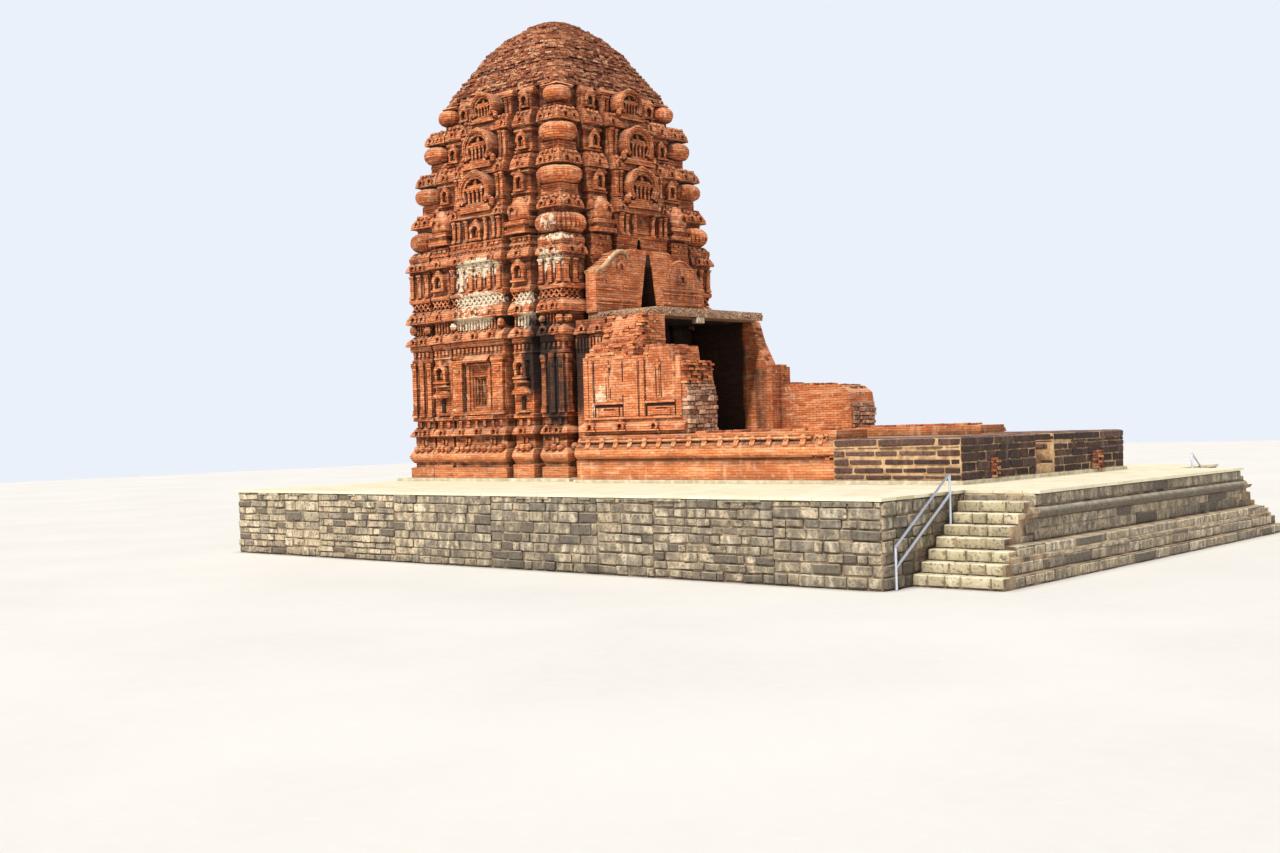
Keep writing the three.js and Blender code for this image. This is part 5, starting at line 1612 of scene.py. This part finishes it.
# These near-black strips are painted shade: the slots beside the pilasters and the shadow lines under the
# niches' shelves.
dark = strips((3.44, 4.86, -0.026, (4.79, 4.82), (5.98, 6.02), (6.56, 6.59), (6.77, 6.8), (7.8, 7.83)),
              (3.83, 4.9, -0.026, (4.96, 5.0)),
              (3.9, 4.72, -0.026, (5.4, 5.43), (5.55, 5.58), (7.13, 7.16), (7.3, 7.33)),
              (3.68, 3.75, -0.022, (4.99, 6.0), (6.8, 7.78)),
              (3.44, 3.68, -0.024, (4.99, 5.03), (5.97, 6.0), (6.8, 6.84), (7.75, 7.78), (5.12, 5.15),
               (5.84, 5.88)),
              (3.61, 3.64, -0.02, (5.3, 5.7), (7.1, 7.5)))
settle(set_on("hall_wall_slots", BRICK_END, dark, SHADOWED, 0.0, 0.0, 0.0), "brick")

# %% Cornice and dentils of the neck
NECK_FACE, NECK_EAST = 2.9, 4.84
ledges = []
for hand in (-1, 1):
    for low, high, out, east in ((5.76, 5.83, 0.14, NECK_EAST), (5.83, 5.91, 0.11, NECK_EAST - 0.03),
                                 (5.91, 6.0, 0.06, NECK_EAST - 0.06), (5.66, 5.72, 0.05, 4.55)):
        for start in (3.4, 3.9, 4.4):
            stop = min(start + 0.49, east)
            ledges.append((((start + stop) / 2, hand * (NECK_FACE + out / 2 - 0.1), (low + high) / 2), 0.0,
                           (stop - start, out + 0.2, high - low)))
    for step in range(9):
        ledges.append(((3.46 + 0.125 * step, hand * (NECK_FACE + 0.02), 5.49), 0.0, (0.07, 0.14, 0.3)))
lay("neck_cornice_and_dentils", BRICK_END, ledges, HALL_BRICK, 0.01, 0.03, 0.015)

# %% Straps, heads and dots
straps, heads = [], []
for hand in (-1, 1):
    for step in range(16):
        x = 4.89 + 0.493 * step
        if x < 12.3:
            straps.append(((x, hand * 4.14, 2.68), (hand * 0.5, 0.0, 0.0), (0.14, 0.1, 0.15)))
            heads.append(((x, hand * 4.13, 2.73), 0.0, (0.17, 0.16, 0.14)))
    for step in range(3):
        straps.append(((3.6 + 0.36 * step, hand * 3.12, 2.63), (hand * 0.3, 0.0, 0.0), (0.13, 0.1, 0.17)))
        heads.append(((3.6 + 0.36 * step, hand * 3.09, 2.715), 0.0, (0.16, 0.16, 0.15)))
lay("plinth_straps", DRESSED_STONE, straps, PLINTH_BRICK, 0.03, 0.08, 0.02)
lay("plinth_strap_heads", LEAF, heads, PLINTH_BRICK, 0.1, 0.12, 0.02)
dots = [((x, -4.05, 3.06), 0.0, (0.27, 0.3, 0.26)) for x in (4.95, 6.02, 7.18)]
dots += [((x, 4.05, 3.06), pi, (0.27, 0.3, 0.26)) for x in (4.95, 5.9)]
dots += [((x, -3.02, 5.79), 0.0, (0.24, 0.24, 0.23)) for x in (3.75, 4.35)]
lay("hall_horseshoe_dots", HORSESHOE_DOT, dots, HALL_BRICK, 0.03, 0.06, 0.02)

# %% Thin rolls and handrails
bead = [[(x / 2, hand * 4.1, 2.79) for x in range(9, 25)] for hand in (-1, 1)]
bead += [[(x / 4, hand * 3.05, 2.79) for x in range(14, 19)] for hand in (-1, 1)]
settle(weigh(swept("plinth_beads", bead, 0.034, PLINTH_BRICK, 10, 0.015)), "brick")
fat = [[(4.42 + 0.4 * step, hand * 4.01, 2.5) for step in range(20)] for hand in (-1, 1)]
settle(weigh(swept("plinth_fat_rolls", fat, 0.185, PLINTH_BRICK, 18, 0.02)), "brick")

RAIL_X, RAIL_RADIUS = 17.11, 0.026
rails = []
for node, hand in (("south_handrail", -1), ("north_handrail", 1)):
    low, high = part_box(node)
    near, far = (high.y, low.y) if hand < 0 else (low.y, high.y)
    near, far = near + hand * RAIL_RADIUS, far - hand * RAIL_RADIUS
    top, foot = high.z - RAIL_RADIUS, 0.8
    base = top - 0.99
    rails += [[(RAIL_X, near, base), (RAIL_X, near, top - 0.03), (RAIL_X, near + hand * 0.02, top - 0.006),
               (RAIL_X, far, foot)],
              [(RAIL_X, far, 0.0), (RAIL_X, far, foot - 0.02)],
              [(RAIL_X, near, top - 0.39), (RAIL_X, far, foot - 0.39)]]
settle(swept("handrail_tubes", rails, RAIL_RADIUS, TUBE_STEEL, 20), "steel", "south_handrail",
       "north_handrail")

# %% [markdown]
# ## Stone by the course
# The platform and the front plinths are of squared stones laid in uneven courses, with wide joints
# of lime mortar. The frame's plain body is the mortar, and each stone is a block that stands a few
# millimetres out of it. Stones differ in length, height and tint, and the tint is by the piece.

# %% Courses of stone
def courses(low, high, rng, least, most):
    """Heights of uneven courses that fill a wall."""
    levels = [low]
    while levels[-1] < high - most:
        levels.append(levels[-1] + rng.uniform(least, most))
    levels.append(high)
    return list(zip(levels, levels[1:]))


def stone_wall(start, end, low, high, rng, course=(0.15, 0.25), length=(0.24, 0.78), joint=0.028, depth=0.2,
               proud=(0.02, 0.06), missing=0.0, beds=None):
    """Seats for stones along a wall, seen from its right-hand side. Beds are the level joints."""
    beds = joint if beds is None else beds
    seats, run = [], Vector((end[0] - start[0], end[1] - start[1], 0.0))
    out = Vector((run.y, -run.x, 0.0)).normalized()
    turn = atan2(run.y, run.x)
    for foot, top in courses(low, high, rng, *course):
        reach = 0.0
        while reach < run.length - 0.05:
            span = min(rng.uniform(*length), run.length - reach)
            if run.length - reach - span < 0.12:
                span = run.length - reach
            middle = Vector((*start, (foot + top) / 2)) + run.normalized() * (reach + span / 2)
            middle += out * (rng.uniform(*proud) - depth / 2)
            if rng.random() >= missing:
                seats.append((middle, turn, (span - joint * rng.uniform(0.5, 1.7), depth,
                                             top - foot - beds * rng.uniform(0.6, 1.6))))
            reach += span
    return seats


# %% Where the broken brick turned grey
GREY_BRICK = tinted_pieces("rain_greyed_rubble",
                           ["c08e70", "a4765a", "d2a686", "906650", "bc8464", "dcb496"], "e8ccb0", 0.5, 0.03,
                           mottled=0.4, corner_shade_share=0.5)
rng = random.Random(29)
rough = dict(course=(0.08, 0.15), length=(0.12, 0.34), joint=0.012, depth=0.3, proud=(-0.01, 0.07))
grey = []
for x, y0, y1, low, high in ((8.17, -3.96, -2.76, 2.97, 3.95), (8.13, -3.95, -2.77, 3.95, 4.2),
                             (8.66, 2.78, 3.92, 2.97, 3.7), (8.56, 2.8, 3.9, 3.7, 3.98),
                             (8.38, 2.8, 3.9, 3.98, 4.16)):
    grey += stone_wall((x, y0), (x, y1), low, high, rng, **rough)
lay("greyed_rubble", DRESSED_STONE, grey, GREY_BRICK, 0.05, 0.08, 0.05)

# %% Stones of the platform
BODY_LOW, BODY_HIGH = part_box("platform_body")
SOUTH_WEST, SOUTH_EAST = (BODY_LOW.x, BODY_LOW.y), (BODY_HIGH.x, BODY_LOW.y)
NORTH_EAST, NORTH_WEST = (BODY_HIGH.x, BODY_HIGH.y), (BODY_LOW.x, BODY_HIGH.y)
finish_frame(LIME_MORTAR, "platform_body", "platform_terrace")
finish_frame(PALE_FLAGS, "platform_paving")


def patched_wall(start, end, low, high, rng):
    """A long wall whose courses were laid anew every few metres, in stones of another size."""
    start, end, stones, reach = Vector(start), Vector(end), [], 0.0
    run = end - start
    while reach < run.length:
        stop = reach + rng.uniform(1.3, 3.6)
        stop = run.length if run.length - stop < 1.0 else stop
        tall, joint = rng.uniform(0.12, 0.19), rng.uniform(0.008, 0.02)
        stones += stone_wall(start + run * (reach / run.length), start + run * (stop / run.length), low, high,
                             rng, (tall, tall * 1.5), (tall * 1.2, tall * 4.2), joint,
                             beds=rng.uniform(0.014, 0.034))
        reach = stop
    return stones


rng = random.Random(41)
stones = []
for start, end in ((SOUTH_WEST, SOUTH_EAST), (SOUTH_EAST, (BODY_HIGH.x, -6.15)),
                   ((BODY_HIGH.x, 4.98), NORTH_EAST), (NORTH_EAST, NORTH_WEST), (NORTH_WEST, SOUTH_WEST)):
    stones += patched_wall(start, end, BODY_LOW.z + 0.01, BODY_HIGH.z - 0.005, rng)
settle(set_on("platform_wall_stones", DRESSED_STONE, stones, PLATFORM_STONE, 0.028, 0.04, 0.06),
       "grey_stone")
print(len(stones), "stones in the platform's walls")

# %% Thin slabs under the rim of the paving
slabs = []
for start, end in ((SOUTH_WEST, SOUTH_EAST), (NORTH_EAST, NORTH_WEST), (NORTH_WEST, SOUTH_WEST)):
    slabs += stone_wall(start, end, BODY_HIGH.z - 0.055, BODY_HIGH.z - 0.005, rng, (0.04, 0.05), (0.3, 1.1),
                        0.012, 0.3, (0.03, 0.09), 0.5)
settle(set_on("edge_slabs", BRICK_END, slabs, PLATFORM_STONE, 0.01, 0.04, 0.03), "grey_stone")

# %% The terrace's mouldings
SOUTH_END, NORTH_END, TERRACE_FRONT = -6.12, 4.95, 18.5
terrace = []
for low, high, front in ((0.0, 0.22, 18.92), (0.22, 0.52, 18.8), (0.74, 1.18, TERRACE_FRONT),
                         (0.52, 0.72, 18.74)):
    terrace += stone_wall((front, SOUTH_END), (front, NORTH_END), low + 0.005, high - 0.005, rng,
                          (0.2, 0.26), (0.6, 1.4), 0.012, proud=(0.008, 0.024))
terrace += stone_wall((18.54, SOUTH_END), (18.54, NORTH_END), 1.42, 1.65, rng, (0.2, 0.26), (0.5, 1.2), 0.014,
                      proud=(0.01, 0.035))
for low, high, front, reach in ((0.0, 0.22, 18.92, 1.74), (0.22, 0.45, 18.8, 1.45), (0.45, 0.72, 18.74, 1.16),
                                (0.72, 0.88, TERRACE_FRONT, 0.58), (0.88, 1.09, TERRACE_FRONT, 0.29)):
    for y0, y1 in ((SOUTH_END - reach, SOUTH_END), (NORTH_END, NORTH_END + reach)):
        terrace += stone_wall((front, y0), (front, y1), low + 0.005, high, rng, (0.2, 0.26), (0.3, 0.7),
                              proud=(0.008, 0.028))
for y in (-6.04, 4.87):
    terrace += [((18.44, y, 1.53), 0.0, (0.25, 0.22, 0.22)), ((18.4, y, 1.3), 0.0, (0.24, 0.22, 0.17)),
                ((18.38, y, 1.13), 0.0, (0.26, 0.22, 0.13))]
for ends in (((17.03, SOUTH_END), (18.48, SOUTH_END)), ((18.48, NORTH_END), (17.03, NORTH_END))):
    terrace += stone_wall(*ends, 0.02, 1.64, rng, proud=(0.008, 0.02))
settle(set_on("terrace_stones", DRESSED_STONE, terrace, TERRACE_STONE, 0.004, 0.015, 0.025), "grey_stone")
torus = [[(18.56, y, 1.29) for y in [-6.14, *(step / 4 for step in range(-24, 20)), 4.97]]]
settle(swept("terrace_roll", torus, 0.105, TERRACE_STONE, 14, 0.02), "grey_stone")

# %% Stairs of worn blocks
TREAD, CLIMB, TREADS = 0.29, 1.715, 7
steps = []
for node, hand in (("south_stair", -1), ("north_stair", 1)):
    low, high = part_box(node)
    edge = high.y if hand < 0 else low.y
    for step in range(TREADS):
        top = CLIMB * (TREADS - step) / (TREADS + 1)
        y0, y1 = edge + hand * TREAD * step, edge + hand * TREAD * (step + 1)
        x = low.x + 0.02
        reach = TERRACE_FRONT + (0.42 if top < 0.3 else 0.3 if top < 0.6 else 0.24 if top < 0.75 else 0.0)
        while x < reach - 0.1:
            width = min(rng.uniform(0.3, 0.7), reach - x)
            steps.append(((x + width / 2, (y0 + y1) / 2, top - 0.09), 0.0, (width - 0.014, 0.34, 0.21)))
            x += width
settle(set_on("stair_blocks", DRESSED_STONE, steps, STEP_STONE, 0.008, 0.015, 0.022), "pale_stone")
finish_frame(LIME_MORTAR, "south_stair", "north_stair")

# %% Dark stones of the front plinths
finish_frame(CREAM_MORTAR, "stone_plinth_south", "stone_plinth_north", "entrance_steps")
rough = dict(course=(0.13, 0.22), length=(0.3, 1.0), joint=0.03, beds=0.065, proud=(0.008, 0.035),
             missing=0.04)
east = dict(rough, joint=0.014, beds=0.02, missing=0.01)
cap = dict(rough, course=(0.17, 0.18), length=(0.9, 1.6), joint=0.012, beds=0.014, missing=0.0)
CAP, CHEEK_BACK = 0.17, 14.6
dark = []
for node, inner, way in (("stone_plinth_south", -0.7, 1), ("stone_plinth_north", 0.25, -1)):
    low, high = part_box(node)
    outer = low.y if way > 0 else high.y
    side, front, cheek, back = (ends[::way] for ends in (
        ((low.x, outer), (high.x, outer)), ((high.x, outer), (high.x, inner)),
        ((high.x, inner), (CHEEK_BACK, inner)), ((CHEEK_BACK, -2.75 * way), (12.7, -2.75 * way))))
    for ends in (side, *(front, cheek)[::way]):
        dark += stone_wall(*ends, high.z - CAP, high.z, rng, **cap)
    for ends, manner in ((side, rough), (cheek, rough), (front, east), (back, rough)):
        dark += stone_wall(*ends, low.z + 0.01, high.z - CAP, rng, **manner)
for x0, x1, y0, y1 in ((12.68, 15.9, -4.16, -2.78), (14.62, 15.9, -2.74, -0.72), (14.62, 15.9, 0.28, 2.74),
                       (12.68, 15.9, 2.78, 4.16)):
    y = y0
    while y < y1 - 0.1:
        deep = min(rng.uniform(0.3, 0.45), y1 - y)
        x = x0
        while x < x1 - 0.1:
            wide = min(rng.uniform(0.4, 1.0), x1 - x)
            middle = ((2 * x + wide) / 2, (2 * y + deep) / 2, 2.69)
            dark.append((middle, 0.0, (wide - 0.03, deep - 0.03, 0.11)))
            x += wide
        y += deep
settle(set_on("front_plinth_stones", DRESSED_STONE, dark, DARK_STONE, 0.012, 0.03, 0.04), "dark_stone")

# %% Two stubs of brick against the front
stubs = []
for y0, y1, top in ((-2.9, -2.5, 2.27), (2.3, 2.86, 2.33)):
    for course in range(int((top - 1.75) / COURSE)):
        stubs += laid_along([(15.96, y0), (15.96, y1)], 1.75 + COURSE * course, rng, missing=0.02)
lay("brick_stubs", BRICK_END, stubs, DOME_BRICK, 0.03, 0.06, 0.02)

# %% Slab of the porch
settle(dressed("porch_roof_slab", "porch_slab_of_pebbly_concrete", PEBBLED, 0.22, 0.02), "slab",
       "porch_roof_slab")
SLAB_LOW, SLAB_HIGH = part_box("porch_roof_slab")
PEBBLES = 420
rng = random.Random(61)
pebbles = []
for _ in range(PEBBLES):
    size = rng.uniform(0.04, 0.11)
    z = rng.uniform(SLAB_LOW.z + 0.01, SLAB_HIGH.z - 0.06)
    x, y = rng.uniform(3.8, SLAB_HIGH.x), rng.choice((SLAB_LOW.y + 0.02, SLAB_HIGH.y - 0.02))
    if rng.random() < 0.3:
        x, y = SLAB_HIGH.x - 0.01, rng.uniform(SLAB_LOW.y, SLAB_HIGH.y)
    pebbles.append(((x, y, z), rng.uniform(0.0, 3.0), (size, size * 0.8, size * 0.7)))
settle(weigh(set_on("slab_pebbles", LEAF, pebbles, PEBBLED, 0.3, 0.2, 0.02)), "slab")

# %% [markdown]
# ## Floor, light and camera
# The temple stands on a plain pale floor. One broad soft sun comes from the south and high up, as
# at noon, and a pale sky fills the shadows. The camera stands where the photograph was taken.

# %% Stage
paint = plain_masonry("studio_floor_paint", "e9e6df", "e2dfd8", 0.2, "eceae4", 0.0005, rough=0.9)
corners = [(x, y, -0.004) for x, y in ((-90, -90), (90, -90), (90, 120), (-90, 120))]
mesh_object("studio_floor", corners, [(0, 1, 2, 3)], paint)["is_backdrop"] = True

sun = in_scene("soft_sun", bpy.data.lights.new("soft_sun", "SUN"))
sun.data.energy = 3.95
sun.data.angle = radians(5)
sun.data.color = (1.0, 0.95, 0.87)
sun.rotation_euler = Vector((0.15, -0.61, 0.78)).to_track_quat("Z", "Y").to_euler()

sky = bpy.data.worlds.new("studio_sky")
sky.use_nodes = True
sky.node_tree.nodes.clear()
aloft = add(sky.node_tree, "TexCoord", out="Generated")
aloft = add(sky.node_tree, "SeparateXYZ", {0: aloft}, out="Z")
aloft = add(sky.node_tree, "MapRange", {0: aloft, 1: 0.29, 2: 0.46})
haze = add(sky.node_tree, "Mix", {0: aloft, 6: (0.83, 0.88, 0.96, 1.0), 7: (0.18, 0.21, 0.28, 1.0)}, **COLOUR)
haze = add(sky.node_tree, "Background", {0: haze})
add(sky.node_tree, "OutputWorld", {0: haze}, out=None)
bpy.context.scene.world = sky
bpy.context.scene.view_settings.view_transform = "Standard"

# %% Camera
EYE = Vector((31.538, -32.206, 3.147))
YAW, PITCH, ROLL = (radians(a) for a in (41.474, 0.024, 1.621))
look = Vector((-sin(YAW) * cos(PITCH), cos(YAW) * cos(PITCH), sin(PITCH)))
level = Vector((cos(YAW), sin(YAW), 0.0))
above = level.cross(look)
right = cos(ROLL) * level - sin(ROLL) * above
upward = sin(ROLL) * level + cos(ROLL) * above
camera = in_scene("camera", bpy.data.cameras.new("camera"))
camera.data.lens = 41.2
camera.data.sensor_width = 36.0
camera.data.clip_end = 400.0
turned = Matrix((right, upward, -look)).transposed().to_4x4()
camera.matrix_world = Matrix.Translation(EYE) @ turned
bpy.context.scene.camera = camera

# %% Tidy up, measure and finish
for made in BLOCKS:
    bpy.data.objects.remove(made)
print(sum(len(piece.data.polygons) for piece in PIECES), "faces on", len(PIECES), "new pieces")
low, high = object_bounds()
print("visual size", [round(v, 2) for v in high - low])
